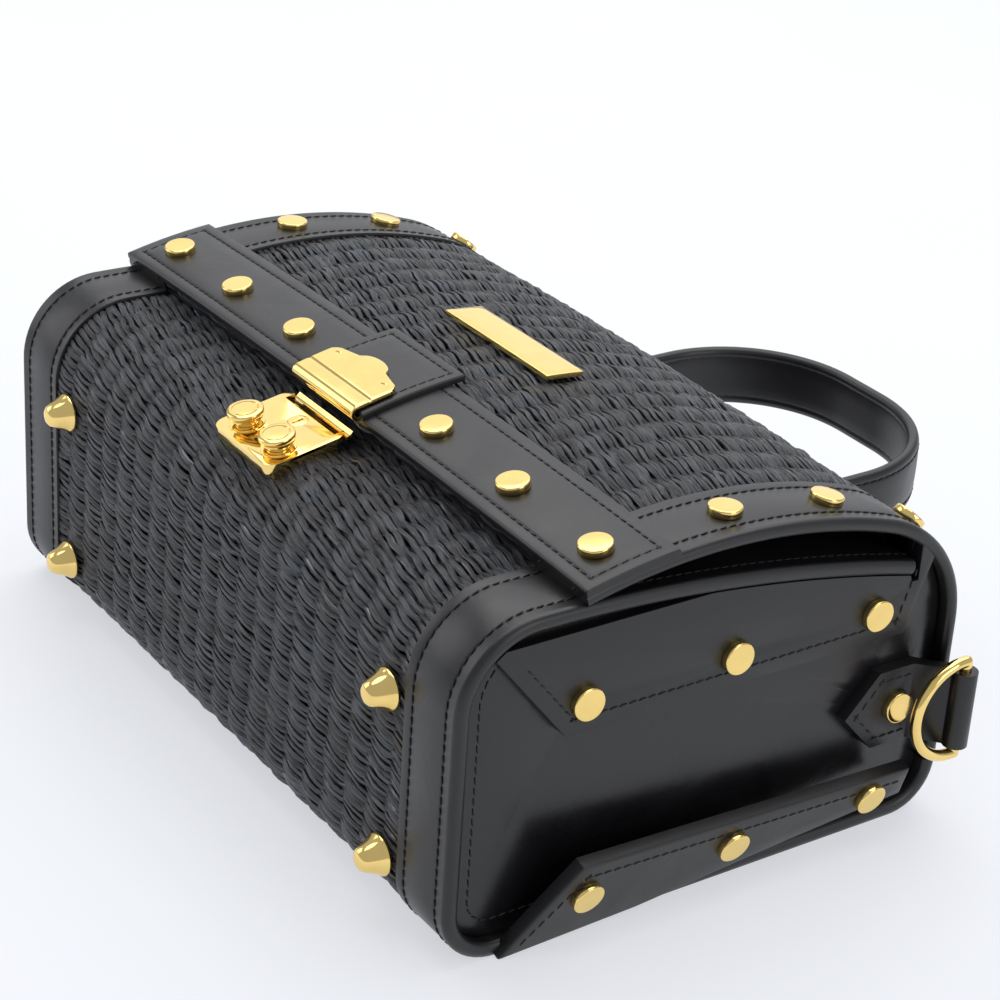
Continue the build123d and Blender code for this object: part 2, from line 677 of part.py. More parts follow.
with BuildPart() as hasp_plate:
    with BuildSketch(Plane.YZ.offset(-HASP_WIDTH / 2)):
        with BuildLine():
            FilletPolyline(
                (tongue.X, tongue.Y - HASP_METAL / 4),
                (tongue.X - HASP_METAL * 0.8, tongue.Y + 3 * HASP_METAL / 2),
                over_tab(LID_FRONT_EDGE),
                over_tab(HASP_REACH),
                radius=HASP_BEND,
            )
            offset(amount=HASP_METAL / 2)
        make_face()
    extrude(amount=HASP_WIDTH)
    shoulder = HASP_REACH - HASP_LOBE
    notch = (HASP_WIDTH - HASP_LOBE_WIDTH) / 2
    for side in (-1, 1):
        with Locations((side * (HASP_WIDTH - notch) / 2, shoulder + HASP_LOBE, BAG_DEPTH)):
            Box(notch, 2 * HASP_LOBE, BAG_DEPTH, mode=Mode.SUBTRACT)
        trim = (HASP_WIDTH - HASP_TONGUE_WIDTH) / 2
        with Locations((side * (HASP_WIDTH - trim) / 2, tongue.X, tongue.Y - HASP_METAL)):
            Box(trim, 4 * HASP_METAL, 4 * HASP_METAL, mode=Mode.SUBTRACT)
save(hasp_plate.part, "hasp_plate")

# ---- Handle ----
with BuildPart() as handle:
    with BuildSketch(Plane.XY.offset(handle_depth - HANDLE_WIDTH / 2)):
        with BuildLine():
            leg = HANDLE_SPAN / 2
            low = BAG_HEIGHT + HANDLE_LEATHER / 2
            high = BAG_HEIGHT + HANDLE_RISE - HANDLE_LEATHER / 2
            FilletPolyline(
                (-leg - HANDLE_FOOT, low),
                (-leg, low),
                (-leg, high),
                (leg, high),
                (leg, low),
                (leg + HANDLE_FOOT, low),
                radius=[HANDLE_FOOT_BEND, HANDLE_BEND, HANDLE_BEND, HANDLE_FOOT_BEND],
            )
            offset(amount=HANDLE_LEATHER / 2)
        make_face()
    extrude(amount=HANDLE_WIDTH)
    drill(handle_rivet_places, RIVET_SHANK_RADIUS)
save(handle.part, "handle")

# ---- Lock ----
with BuildPart() as corner_fill:
    with BuildSketch(Plane.YZ.offset(-BAG_WIDTH / 2)):
        with BuildLine():
            Line(*tray_outline(0))
        make_face()
    extrude(amount=BAG_WIDTH)

stem_bore = BUTTON_NECK_RADIUS + RUNNING_CLEARANCE
collar_bore = BUTTON_NECK_RADIUS + BUTTON_COLLAR + RUNNING_CLEARANCE
with BuildPart() as lock_case:
    with BuildSketch(lock_plane):
        RectangleRounded(LOCK_WIDTH, LOCK_LENGTH, LOCK_CORNER)
    extrude(amount=-LOCK_HEIGHT)
    with Locations(groove):
        Cylinder(GROOVE_RADIUS, GROOVE_WIDTH, rotation=(0, 90, 0), mode=Mode.SUBTRACT)
    add(corner_fill.part, mode=Mode.SUBTRACT)
    with BuildSketch(lock_plane.offset(-LOCK_HEIGHT / 4)):
        with Locations((0, housing_centre)):
            Rectangle(HOUSING_WIDTH, housing_length)
    extrude(amount=-HOUSING_DEPTH + LOCK_HEIGHT / 4)
    with BuildSketch(lock_plane):
        with Locations(*button_places):
            Circle(BUTTON_NECK_RADIUS + 2 * BUTTON_COLLAR)
    extrude(amount=COLLAR_RING)
    with BuildSketch(lock_plane.offset(LOCK_HEIGHT)):
        with Locations(*button_places):
            Circle(stem_bore)
    extrude(amount=-2 * LOCK_HEIGHT - HOUSING_DEPTH, mode=Mode.SUBTRACT)
    with BuildSketch(lock_plane.offset(-BUTTON_STEM_DEPTH)):
        with Locations(*button_places):
            Circle(collar_bore)
    extrude(amount=-HOUSING_DEPTH, mode=Mode.SUBTRACT)
    with BuildSketch(lock_plane):
        with Locations((0, BARREL_RISE)):
            Circle(BARREL_RADIUS + RUNNING_CLEARANCE)
    extrude(amount=-BARREL_DEPTH, mode=Mode.SUBTRACT)
    with BuildSketch(lock_plane.offset(-HOUSING_DEPTH)):
        with Locations(*screw_places):
            Circle(SCREW_RADIUS)
    extrude(amount=SCREW_LENGTH, mode=Mode.SUBTRACT)
save(lock_case.part, "lock_case")

with BuildPart() as lock_back_plate:
    with BuildSketch(lock_plane.offset(-HOUSING_DEPTH)):
        with Locations((0, housing_centre)):
            margin = 2 * BACK_PLATE_MARGIN
            RectangleRounded(HOUSING_WIDTH + margin, housing_length + margin, BACK_PLATE_MARGIN)
        with Locations(*screw_places):
            Circle(SCREW_RADIUS + SHANK_CLEARANCE, mode=Mode.SUBTRACT)
    extrude(amount=-BACK_PLATE)
save(lock_back_plate.part, "lock_back_plate")

with BuildPart() as screw:
    with BuildSketch(Plane.XY):
        Circle(SCREW_RADIUS - RUNNING_CLEARANCE)
    extrude(amount=SCREW_LENGTH + BACK_PLATE - SHANK_CLEARANCE)
    with BuildSketch(Plane.XY):
        Circle(SCREW_HEAD_RADIUS)
    extrude(amount=-SCREW_HEAD)
    with BuildSketch(Plane.XY.offset(-SCREW_HEAD)):
        Rectangle(2 * SCREW_HEAD_RADIUS, SCREW_HEAD / 2)
    extrude(amount=SCREW_HEAD / 2, mode=Mode.SUBTRACT)
screw_seat = lock_plane.offset(-HOUSING_DEPTH - BACK_PLATE)
save(Compound([screw_seat * Pos(x, y, 0) * screw.part for x, y in screw_places]), "lock_screws")

with BuildPart() as key_barrel:
    with BuildSketch(lock_plane):
        with Locations((0, BARREL_RISE)):
            Circle(BARREL_RADIUS)
    extrude(amount=-BARREL_DEPTH)
    with BuildSketch(lock_plane):
        with Locations((0, BARREL_RISE)):
            Rectangle(*KEY_SLOT)
    extrude(amount=-KEY_SLOT_DEPTH, mode=Mode.SUBTRACT)
save(key_barrel.part, "key_barrel")

collar_low = BUTTON_STEM_DEPTH + BUTTON_COLLAR_HEIGHT
spring_free = HOUSING_DEPTH - collar_low
for (across, up), hand in zip(button_places, ("left", "right")):
    here = lock_plane * Pos(across, up, 0)
    with BuildPart() as button:
        low = (Align.CENTER, Align.CENTER, Align.MIN)
        with Locations((0, 0, BUTTON_NECK)):
            Cylinder(BUTTON_RADIUS, BUTTON_HEAD, align=low)
        fillet(button.edges().group_by(Axis.Z)[-1], BUTTON_HEAD / 3)
        with Locations((0, 0, -collar_low)):
            Cylinder(BUTTON_NECK_RADIUS, collar_low + BUTTON_NECK, align=low)
            Cylinder(BUTTON_NECK_RADIUS + BUTTON_COLLAR, BUTTON_COLLAR_HEIGHT, align=low)
    save(here * button.part, f"lock_button_{hand}")

    with BuildPart() as spring:
        coil = spring_free - 2 * SPRING_WIRE
        with BuildLine(Plane.XY.offset(-HOUSING_DEPTH + SPRING_WIRE)) as spring_path:
            Helix(coil / SPRING_TURNS, coil, SPRING_RADIUS)
        with BuildSketch(Plane(spring_path.line @ 0, z_dir=spring_path.line % 0)):
            Circle(SPRING_WIRE / 2)
        sweep()
    save(here * spring.part, f"button_spring_{hand}")
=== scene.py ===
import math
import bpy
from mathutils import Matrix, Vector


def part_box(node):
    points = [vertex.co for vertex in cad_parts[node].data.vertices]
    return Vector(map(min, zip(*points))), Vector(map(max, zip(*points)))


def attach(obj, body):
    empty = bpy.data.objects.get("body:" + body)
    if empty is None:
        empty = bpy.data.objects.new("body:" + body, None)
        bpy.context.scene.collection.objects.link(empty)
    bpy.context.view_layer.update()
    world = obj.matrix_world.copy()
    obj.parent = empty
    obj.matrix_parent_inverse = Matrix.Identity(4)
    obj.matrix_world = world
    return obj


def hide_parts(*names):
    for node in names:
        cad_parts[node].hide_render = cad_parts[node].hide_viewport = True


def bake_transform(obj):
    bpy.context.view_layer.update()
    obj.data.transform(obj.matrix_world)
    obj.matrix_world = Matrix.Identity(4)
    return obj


bl_info = {
    "name": "Wicker Box Bag",
    "version": (1, 0, 0),
    "blender": (4, 5, 0),
    "location": "View3D > Sidebar > Wicker Bag",
    "description": "Makes a woven box bag with leather bindings, brass rivets and a press lock",
    "category": "Add Mesh",
}

from types import SimpleNamespace

import bmesh
import bpy
import numpy as np
from bpy.props import FloatProperty, FloatVectorProperty, IntProperty, PointerProperty
from bpy.types import Operator, Panel, PropertyGroup
from mathutils import Matrix, Vector

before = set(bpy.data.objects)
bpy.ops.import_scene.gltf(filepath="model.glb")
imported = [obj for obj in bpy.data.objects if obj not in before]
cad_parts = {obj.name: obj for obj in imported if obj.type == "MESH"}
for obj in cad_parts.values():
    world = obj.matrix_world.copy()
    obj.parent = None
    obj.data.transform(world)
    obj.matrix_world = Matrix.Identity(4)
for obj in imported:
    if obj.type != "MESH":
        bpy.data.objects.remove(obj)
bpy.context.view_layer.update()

# The bag lies on its back: X runs across it, Y from its bottom to its top, Z from its back to its front.
# Sizes are worked in millimetres from the bottom face and the ground, and set down in metres in the frame.
BINDING_LOW, BINDING_HIGH = (np.array(corner) * 1000 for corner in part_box("body_binding_right"))
BOTTOM = BINDING_LOW[1]


def linear(code):
    """An sRGB hex colour as the linear colour that shaders take."""
    parts = [int(code[i : i + 2], 16) / 255 for i in (1, 3, 5)]
    return [c / 12.92 if c < 0.04045 else ((c + 0.055) / 1.055) ** 2.4 for c in parts] + [1.0]


def length(name, description, value):
    """A length setting whose default is given in millimetres."""
    return FloatProperty(
        name=name, description=description, default=value / 1000, precision=5, unit="LENGTH"
    )


def colour(name, description, code):
    """A colour setting whose default is an sRGB hex value."""
    return FloatVectorProperty(
        name=name, description=description, size=4, min=0, max=1, subtype="COLOR", default=linear(code)
    )


class BagSizes(PropertyGroup):
    """Outline of the tray and the lid"""

    half_width: length("Half width", "Middle of the bag to its outer edge", BINDING_HIGH[0])
    height: length("Height", "Bottom face to the lid's top face", BINDING_HIGH[1] - BOTTOM)
    depth: length("Depth", "Back face to the front face", BINDING_HIGH[2])
    tray_wall: length("Tray wall", "Thickness of the woven tray", 4.0)
    back_top: length("Back top radius", "Turn of the tray's back into its top", 15.0)
    back_bottom: length("Back bottom radius", "Turn of the back into the bottom", 17.0)
    front_bottom: length("Front bottom radius", "Turn of the bottom into the front", 24.0)
    rim_below: length("Rim below top", "Tray's front rim below the lid's top face", 19.0)
    rim_drop: length("Rim drop", "How far the front leans back at the rim", 15.7)
    lid_wall: length("Lid wall", "Thickness of the woven lid", 3.4)
    lid_corner: length("Lid corner radius", "Turn of the lid's top into its front", 40.9)
    corner_drop: length("Lid corner drop", "Start of that turn behind the front face", 39.0)
    crown: length("Lid crown radius", "Curve of the lid's front from top to edge", 184.7)
    lid_edge: length("Lid edge", "Lid's front edge above the bottom face", 36.4)
    lid_gap: length("Lid gap", "Space between the lid and the tray's front", 0.4)
    bow: length("Lid bow", "How much the lid's front swells in its middle", 1.2)


class WeaveSizes(PropertyGroup):
    """The woven rush"""

    pitch: length("Row pitch", "Distance between two twined rows of rush", 2.2)
    broad: length("Strand width", "Width of one flattened strand", 1.75)
    thick: length("Strand thickness", "Thickness of one strand", 1.0)
    stake_pitch: length("Stake pitch", "Distance between two stakes", 10.4)
    stake: length("Stake", "Thickness of a stake", 2.4)
    rise: length("Rise", "How far a strand rises over a stake and dips behind the next", 0.8)
    twine: length("Twine", "How far the two strands of a row pass above and below each other", 0.85)
    sink: length("Sink", "Middle of the weave below the outer face", 1.6)
    press: length("Press", "How far the weave is pressed in round the lock", 2.2)
    uneven: FloatProperty(
        name="Unevenness", description="How irregular the hand weave is", default=1.0, min=0, max=3
    )
    seed: IntProperty(name="Seed", description="Which irregularity the weave gets", default=7)


class LeatherSizes(PropertyGroup):
    """Bindings, strap, tabs and handle"""

    binding: length("Binding width", "Width of the side bindings", 24.0)
    edge: length("Edge radius", "Rounding of a cut leather edge", 0.7)
    strap: length("Strap thickness", "Thickness of the front strap and the lock tab", 2.0)
    strap_top: length("Strap top", "Upper edge of the strap above the bottom face", 65.3)
    tab_width: length("Lock tab width", "Width of the tab under the hasp", 37.0)
    tab_top: length("Lock tab top", "Upper edge of the lock tab above the bottom face", 69.3)
    seam: length("Seam inset", "Stitch line to the leather's edge", 4.0)
    groove: length("Seam groove", "How deep a stitch line sinks", 0.3)
    stitch: length("Stitch pitch", "Distance between two stitches", 3.1)
    thread: length("Thread", "Thickness of the sewing thread", 0.55)
    hinge: length("Hinge leather", "Thickness of the leather hinge", 1.2)
    hinge_reach: length("Hinge reach", "How far the hinge lies on each wall", 11.0)
    handle_width: length("Handle width", "Width of the handle strap", 20.0)
    handle_thick: length("Handle thickness", "Thickness of the handle strap", 4.0)


class MetalSizes(PropertyGroup):
    """Rivets, feet and plates"""

    rivet: length("Rivet radius", "Radius of a rivet head", 4.8)
    rivet_rise: length("Rivet height", "Height of a rivet head", 2.2)
    small_rivet: length("Handle rivet radius", "Radius of the handle's rivet heads", 3.6)
    foot: length("Foot radius", "Radius of a foot at its base", 6.0)
    foot_rise: length("Foot height", "Height of a foot", 7.5)
    plate_width: length("Plate width", "Width of the name plate", 52.8)
    plate_low: length("Plate low edge", "Name plate's lower edge above the bottom face", 91.5)
    plate_high: length("Plate high edge", "Name plate's upper edge above the bottom face", 104.0)
    plate: length("Plate thickness", "Thickness of the name plate", 2.0)
    ease: length("Edge ease", "Rounding of the metal's edges", 0.35)


class Finishes(PropertyGroup):
    """Colours of the finishes"""

    rush: colour("Rush", "Dyed rush in the light", "#2b2c31")
    rush_dark: colour("Dark rush", "The darkest strands", "#101013")
    # A painted blue-grey sheen, mixed into the rush in random patches.
    rush_blue: colour("Blue rush", "Strands where the dye shows blue", "#2d3a45")
    leather: colour("Leather", "Black calf leather", "#111113")
    leather_edge: colour("Leather edge", "Cut edges of the leather", "#1d1b1a")
    thread: colour("Thread", "Black sewing thread", "#0b0b0c")
    brass: colour("Gilt brass", "Polished gilt brass", "#f7d888")
    steel: colour("Steel", "Plain steel inside the lock", "#b9bcc0")
    lining: colour("Lining", "Woven cotton lining", "#26262a")
    floor: colour("Floor", "Studio floor", "#f3f5fa")


GROUPS = {
    "bag": BagSizes,
    "weave": WeaveSizes,
    "leather": LeatherSizes,
    "metal": MetalSizes,
    "finishes": Finishes,
}


def settings(group):
    """A group's settings, with its lengths in millimetres."""
    found = {}
    source = getattr(bpy.context.scene, f"wicker_{group}")
    for prop in source.bl_rna.properties:
        if prop.identifier in GROUPS[group].__annotations__:
            value = getattr(source, prop.identifier)
            found[prop.identifier] = value * 1000 if prop.unit == "LENGTH" else value
    return SimpleNamespace(**found)


# ---- Outlines ----
class Outline:
    """A wall's side outline of lines and arcs. A place on it is its run from the hinge, in millimetres."""

    def __init__(self, steps, outward):
        """Each step is ("start", point), ("line", end) or ("arc", centre, radius, from, to), in degrees."""
        points, at = [], None
        for kind, *facts in steps:
            if kind == "start":
                made = np.array([facts[0]], float)
            elif kind == "line":
                end = np.array(facts[0], float)
                count = max(2, int(np.linalg.norm(end - at) / 0.5))
                made = at + (end - at) * np.linspace(0, 1, count)[:, None]
            else:
                centre, radius, first, last = facts
                turn = np.radians(np.linspace(first, last, max(8, int(radius * abs(last - first) / 28))))
                made = np.array(centre) + radius * np.stack([np.cos(turn), np.sin(turn)], 1)
            points.extend(made if at is None else made[1:])
            at = made[-1]
        self.points = np.array(points)
        gaps = np.linalg.norm(np.diff(self.points, axis=0), axis=1)
        self.runs = np.concatenate([[0], np.cumsum(gaps)])
        along = np.gradient(self.points, self.runs, axis=0)
        along /= np.linalg.norm(along, axis=1)[:, None]
        self.normals = np.stack([along[:, 1], -along[:, 0]], 1) * outward
        self.length = self.runs[-1]

    def look_up(self, table, run):
        """Values of a table at some runs, carried straight on past both ends."""
        return np.stack([np.interp(run, self.runs, table[:, i]) for i in (0, 1)], -1)

    def place(self, across, run, lift=0.0):
        """Points at X = across, lifted off the outer face."""
        across, run, lift = np.broadcast_arrays(
            np.asarray(across, float), np.asarray(run, float), np.asarray(lift, float)
        )
        flat = self.look_up(self.points, run) + self.look_up(self.normals, run) * lift[..., None]
        return np.concatenate([across[..., None], flat], -1)

    def out(self, run):
        """Outward directions at some runs."""
        run = np.asarray(run, float)
        flat = self.look_up(self.normals, run)
        flat /= np.linalg.norm(flat, axis=-1)[..., None]
        return np.concatenate([np.zeros(run.shape + (1,)), flat], -1)

    def run_at(self, height, front=True):
        """The run at which the outline passes a height above the bottom face, on its front part."""
        half = len(self.runs) // 2
        part = slice(half, None) if front else slice(0, half)
        heights, runs = self.points[part, 0], self.runs[part]
        order = np.argsort(heights)
        return float(np.interp(height, heights[order], runs[order]))


class LidOutline(Outline):
    """The lid's outline, whose front swells in the middle of the bag."""

    # The swell starts this far before the front and grows over this run.
    swell_lead, swell_run = 44, 40

    def __init__(self, steps, outward, bow, half_width, front_depth):
        super().__init__(steps, outward)
        self.bow, self.half_width = bow, half_width
        self.turn_run = float(self.runs[np.argmax(self.points[:, 1] > front_depth)])

    def place(self, across, run, lift=0.0):
        across, run = np.asarray(across, float), np.asarray(run, float)
        fade = np.clip((run - self.turn_run + self.swell_lead) / self.swell_run, 0, 1)
        swell = fade * fade * (3 - 2 * fade) * self.bow * (1 - 2 * (across / self.half_width) ** 2)
        return super().place(across, run, np.asarray(lift, float) + swell)


def outlines():
    """The tray's and the lid's side outlines, from the hinge to their front edges."""
    b = settings("bag")
    rim = b.height - b.rim_below
    run = rim - b.front_bottom
    front = (run**2 + b.rim_drop**2) / (2 * b.rim_drop)
    front_turn = math.degrees(2 * math.atan(b.rim_drop / run))
    tray = Outline(
        [
            ("arc", (b.height - b.back_top, b.back_top), b.back_top, 0, -90),
            ("line", (b.back_bottom, 0)),
            ("arc", (b.back_bottom, b.back_bottom), b.back_bottom, -90, -180),
            ("line", (0, b.depth - b.front_bottom)),
            ("arc", (b.front_bottom, b.depth - b.front_bottom), b.front_bottom, 180, 90),
            ("arc", (b.front_bottom, b.depth - front), front, 90, 90 - front_turn),
        ],
        -1,
    )
    corner = np.array([b.height - b.lid_corner, b.depth - b.corner_drop])
    edge_depth = b.depth - front + math.sqrt(front**2 - (b.lid_edge - b.front_bottom) ** 2)
    edge = np.array([b.lid_edge, edge_depth + b.lid_gap + b.lid_wall])
    to_edge = edge - corner
    step = b.crown - b.lid_corner
    lean = (b.crown**2 - step**2 - to_edge @ to_edge) / (2 * step)
    turn = math.atan2(to_edge[1], to_edge[0]) - math.acos(lean / np.linalg.norm(to_edge))
    centre = corner - step * np.array([math.cos(turn), math.sin(turn)])
    last = math.degrees(math.atan2(*(edge - centre)[::-1]))
    lid = LidOutline(
        [
            ("start", (b.height, b.back_top + 0.3)),
            ("line", (b.height, corner[1])),
            ("arc", corner, b.lid_corner, 0, math.degrees(turn)),
            ("arc", centre, b.crown, math.degrees(turn), last),
        ],
        1,
        b.bow,
        b.half_width,
        centre[1] + b.crown * math.sin(turn),
    )
    return tray, lid


# ---- Meshes and nodes ----
def piece(name, points, faces, material, body, stands_for=(), finish=None):
    """A mesh from points in millimetres, riding on a body and standing for the CAD nodes it replaces."""
    # Leather and cloth lie flat where they meet the ground.
    points = np.asarray(points, float).reshape(-1, 3)
    points = np.column_stack([points[:, :2], np.maximum(points[:, 2], 0)])
    mesh = bpy.data.meshes.new(name)
    placed = (points + (0, BOTTOM, 0)) / 1000
    mesh.from_pydata(placed.tolist(), [], faces)
    obj = bpy.data.objects.new(name, mesh)
    bpy.context.scene.collection.objects.link(obj)
    return settle(obj, material, body, stands_for, finish)


def settle(obj, material, body, stands_for, finish, closed=True):
    """Gives a finished mesh its material, outward faces, body, CAD nodes and material slot."""
    mesh = obj.data
    if closed:
        work = bmesh.new()
        work.from_mesh(mesh)
        bmesh.ops.remove_doubles(work, verts=work.verts, dist=1e-6)
        bmesh.ops.recalc_face_normals(work, faces=work.faces)
        work.to_mesh(mesh)
        work.free()
    mesh.materials.clear()
    mesh.materials.append(material)
    mesh.polygons.foreach_set("use_smooth", [True] * len(mesh.polygons))
    mesh.set_sharp_from_angle(angle=math.radians(48))
    if body is not None:
        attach(obj, body)
    if stands_for:
        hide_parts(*stands_for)
    return obj


def grid_faces(rows, columns, around=False):
    """Quads between rows x columns points, joined round the columns if asked."""
    last = columns if around else columns - 1
    faces = []
    for start in range(0, (rows - 1) * columns, columns):
        for j in range(last):
            ahead = (j + 1) % columns
            faces.append((start + j, start + ahead, start + columns + ahead, start + columns + j))
    return faces


def swept(sections):
    """Points and faces of one closed section carried through several places, with both ends shut."""
    sections = np.asarray(sections, float)
    rows, columns = sections.shape[:2]
    faces = grid_faces(rows, columns, around=True)
    faces += [tuple(range(columns))[::-1], tuple((rows - 1) * columns + j for j in range(columns))]
    return sections.reshape(-1, 3), faces


def slab(top, bottom):
    """Points and faces of a sheet of leather between a grid of top points and one of bottom points."""
    rows, columns = top.shape[:2]
    points = np.concatenate([top.reshape(-1, 3), bottom.reshape(-1, 3)])
    half = rows * columns
    faces = grid_faces(rows, columns)
    faces += [tuple(half + i for i in reversed(face)) for face in grid_faces(rows, columns)]
    rim = [j for j in range(columns)] + [i * columns + columns - 1 for i in range(1, rows)]
    rim += [(rows - 1) * columns + j for j in range(columns - 2, -1, -1)]
    rim += [i * columns for i in range(rows - 2, 0, -1)]
    faces += [(a, b, half + b, half + a) for a, b in zip(rim, rim[1:] + rim[:1])]
    return points, faces


def add(tree, kind, links=None, **facts):
    """Adds a node with its settings. Each link is a value, or the node or socket that feeds the input."""
    node = tree.nodes.new(kind)
    for name, value in facts.items():
        setattr(node, name, value)
    for name, source in (links or {}).items():
        socket = node.inputs[name]
        if isinstance(source, bpy.types.Node):
            tree.links.new(source.outputs[0], socket)
        elif isinstance(source, bpy.types.NodeSocket):
            tree.links.new(source, socket)
        else:
            socket.default_value = source
    return node


def add_to(tree, node, links):
    """Feeds a node's inputs from other nodes or their sockets."""
    for name, source in links.items():
        socket = source if isinstance(source, bpy.types.NodeSocket) else source.outputs[0]
        tree.links.new(socket, node.inputs[name])


def start_tree(name, inputs):
    """A Geometry Nodes tree with a geometry in and out and named inputs of the given kinds."""
    tree = bpy.data.node_groups.new(name, "GeometryNodeTree")
    tree.interface.new_socket("Geometry", in_out="INPUT", socket_type="NodeSocketGeometry")
    for label, kind in inputs.items():
        tree.interface.new_socket(label, in_out="INPUT", socket_type=f"NodeSocket{kind}")
    tree.interface.new_socket("Geometry", in_out="OUTPUT", socket_type="NodeSocketGeometry")
    return tree, add(tree, "NodeGroupInput").outputs


def end_tree(tree, geometry, material):
    """Realizes, smooths and paints what the tree made, and hands it out."""
    real = add(tree, "GeometryNodeRealizeInstances", {0: geometry})
    smooth = add(tree, "GeometryNodeSetShadeSmooth", {0: real})
    painted = add(tree, "GeometryNodeSetMaterial", {0: smooth, "Material": material})
    add(tree, "NodeGroupOutput", {0: painted})


def guide(name, points, edges, **attributes):
    """A guide mesh in millimetres for a node tree, with its values or directions stored on its points."""
    mesh = bpy.data.meshes.new(name)
    placed = (np.asarray(points, float) + (0, BOTTOM, 0)) / 1000
    mesh.from_pydata(placed.tolist(), edges, [])
    for label, values in attributes.items():
        values = np.asarray(values, np.float32)
        if values.ndim == 2:
            mesh.attributes.new(label, "FLOAT_VECTOR", "POINT").data.foreach_set("vector", values.ravel())
        else:
            mesh.attributes.new(label, "FLOAT", "POINT").data.foreach_set("value", values)
    obj = bpy.data.objects.new(name, mesh)
    bpy.context.scene.collection.objects.link(obj)
    return obj


def grow(obj, tree, inputs, body, stands_for=(), sharp=60):
    """Runs a node tree on a guide and keeps what it makes as a plain mesh on a body."""
    modifier = obj.modifiers.new(tree.name, "NODES")
    modifier.node_group = tree
    for item in tree.interface.items_tree:
        if item.in_out == "INPUT" and item.name in inputs:
            modifier[item.identifier] = inputs[item.name]
    bpy.context.view_layer.update()
    evaluated = obj.evaluated_get(bpy.context.evaluated_depsgraph_get())
    made = bpy.data.meshes.new_from_object(evaluated)
    if not made.polygons:
        raise RuntimeError(f"{tree.name} made no faces for {obj.name}")
    obj.modifiers.remove(modifier)
    obj.data = made
    made.polygons.foreach_set("use_smooth", [True] * len(made.polygons))
    made.set_sharp_from_angle(angle=math.radians(sharp))
    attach(obj, body)
    if stands_for:
        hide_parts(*stands_for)
    return obj


def eased_copy(node, name, width, material, body, finish):
    """A copy of a CAD node with its edges rounded, standing for that node."""
    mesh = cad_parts[node].data.copy()
    obj = bpy.data.objects.new(name, mesh)
    bpy.context.scene.collection.objects.link(obj)
    work = bmesh.new()
    work.from_mesh(mesh)
    bmesh.ops.remove_doubles(work, verts=work.verts, dist=2e-6)
    bmesh.ops.dissolve_limit(
        work, angle_limit=math.radians(0.6), verts=work.verts, edges=work.edges, delimit=set()
    )
    work.to_mesh(mesh)
    work.free()
    bevel = obj.modifiers.new("Eased edges", "BEVEL")
    bevel.width = width / 1000
    bevel.segments = 3
    bevel.limit_method = "ANGLE"
    bevel.angle_limit = math.radians(32)
    bpy.context.view_layer.update()
    evaluated = obj.evaluated_get(bpy.context.evaluated_depsgraph_get())
    obj.data = bpy.data.meshes.new_from_object(evaluated)
    obj.modifiers.clear()
    obj.data.name = name
    return settle(obj, material, body, (node,), finish, closed=False)


# ---- Finishes ----
FINISHES = {}


def finish_shader(name):
    """A new material with its shader, object coordinates and output."""
    material = bpy.data.materials.new(name)
    material.use_nodes = True
    tree = material.node_tree
    tree.nodes.clear()
    shader = add(tree, "ShaderNodeBsdfPrincipled")
    add(tree, "ShaderNodeOutputMaterial", {"Surface": shader})
    here = add(tree, "ShaderNodeTexCoord").outputs["Object"]
    FINISHES[name] = material
    return tree, shader, here


def dyed_rush():
    """Rush dyed black: split, damp-woven grass that dries matt, each strand its own shade, fibres shining,
    with a painted blue-grey sheen in random patches.
    """
    c = settings("finishes")
    tree, shader, here = finish_shader("dyed_rush")
    tone, across, around, row = (
        add(tree, "ShaderNodeAttribute", attribute_name=name).outputs["Fac"]
        for name in ("tone", "across", "around", "row")
    )
    # Fibres about 0.2 mm wide and 11 mm long follow each strand.
    drawn = add(tree, "ShaderNodeMath", {0: across, 1: 0.09}, operation="MULTIPLY")
    wide = add(tree, "ShaderNodeMath", {0: around, 1: 4.6}, operation="MULTIPLY")
    apart = add(tree, "ShaderNodeMath", {0: row, 1: 5.37}, operation="MULTIPLY")
    along = add(tree, "ShaderNodeCombineXYZ", {0: drawn, 1: wide, 2: apart})
    fibre = add(tree, "ShaderNodeTexNoise", {"Vector": along, "Scale": 1.0, "Detail": 2.0, "Roughness": 0.55})
    patch = add(tree, "ShaderNodeTexNoise", {"Vector": here, "Scale": 60, "Detail": 2.0})
    shade = add(
        tree,
        "ShaderNodeMix",
        {"Factor": tone, 6: c.rush_dark, 7: c.rush},
        data_type="RGBA",
    )
    # Painted sheen: the rush turns blue-grey in random patches, standing in for reflected light.
    painted_sheen_mask = add(tree, "ShaderNodeMapRange", {"Value": patch, 1: 0.6, 2: 0.74, 3: 0.0, 4: 0.6})
    dyed = add(
        tree,
        "ShaderNodeMix",
        {"Factor": painted_sheen_mask, 6: shade.outputs[2], 7: c.rush_blue},
        data_type="RGBA",
    )
    streak = add(tree, "ShaderNodeMapRange", {"Value": fibre, 1: 0.36, 2: 0.64, 3: 0.05, 4: 3.0})
    streaked = add(
        tree, "ShaderNodeVectorMath", {0: dyed.outputs[2], "Scale": streak}, operation="SCALE"
    )
    rough = add(tree, "ShaderNodeMapRange", {"Value": fibre, 1: 0.36, 2: 0.64, 3: 0.52, 4: 0.2})
    bump = add(tree, "ShaderNodeBump", {"Height": fibre, "Strength": 1.0, "Distance": 0.0009})
    add_to(tree, shader, {"Base Color": streaked, "Roughness": rough, "Normal": bump})
    shader.inputs["Specular IOR Level"].default_value = 0.85


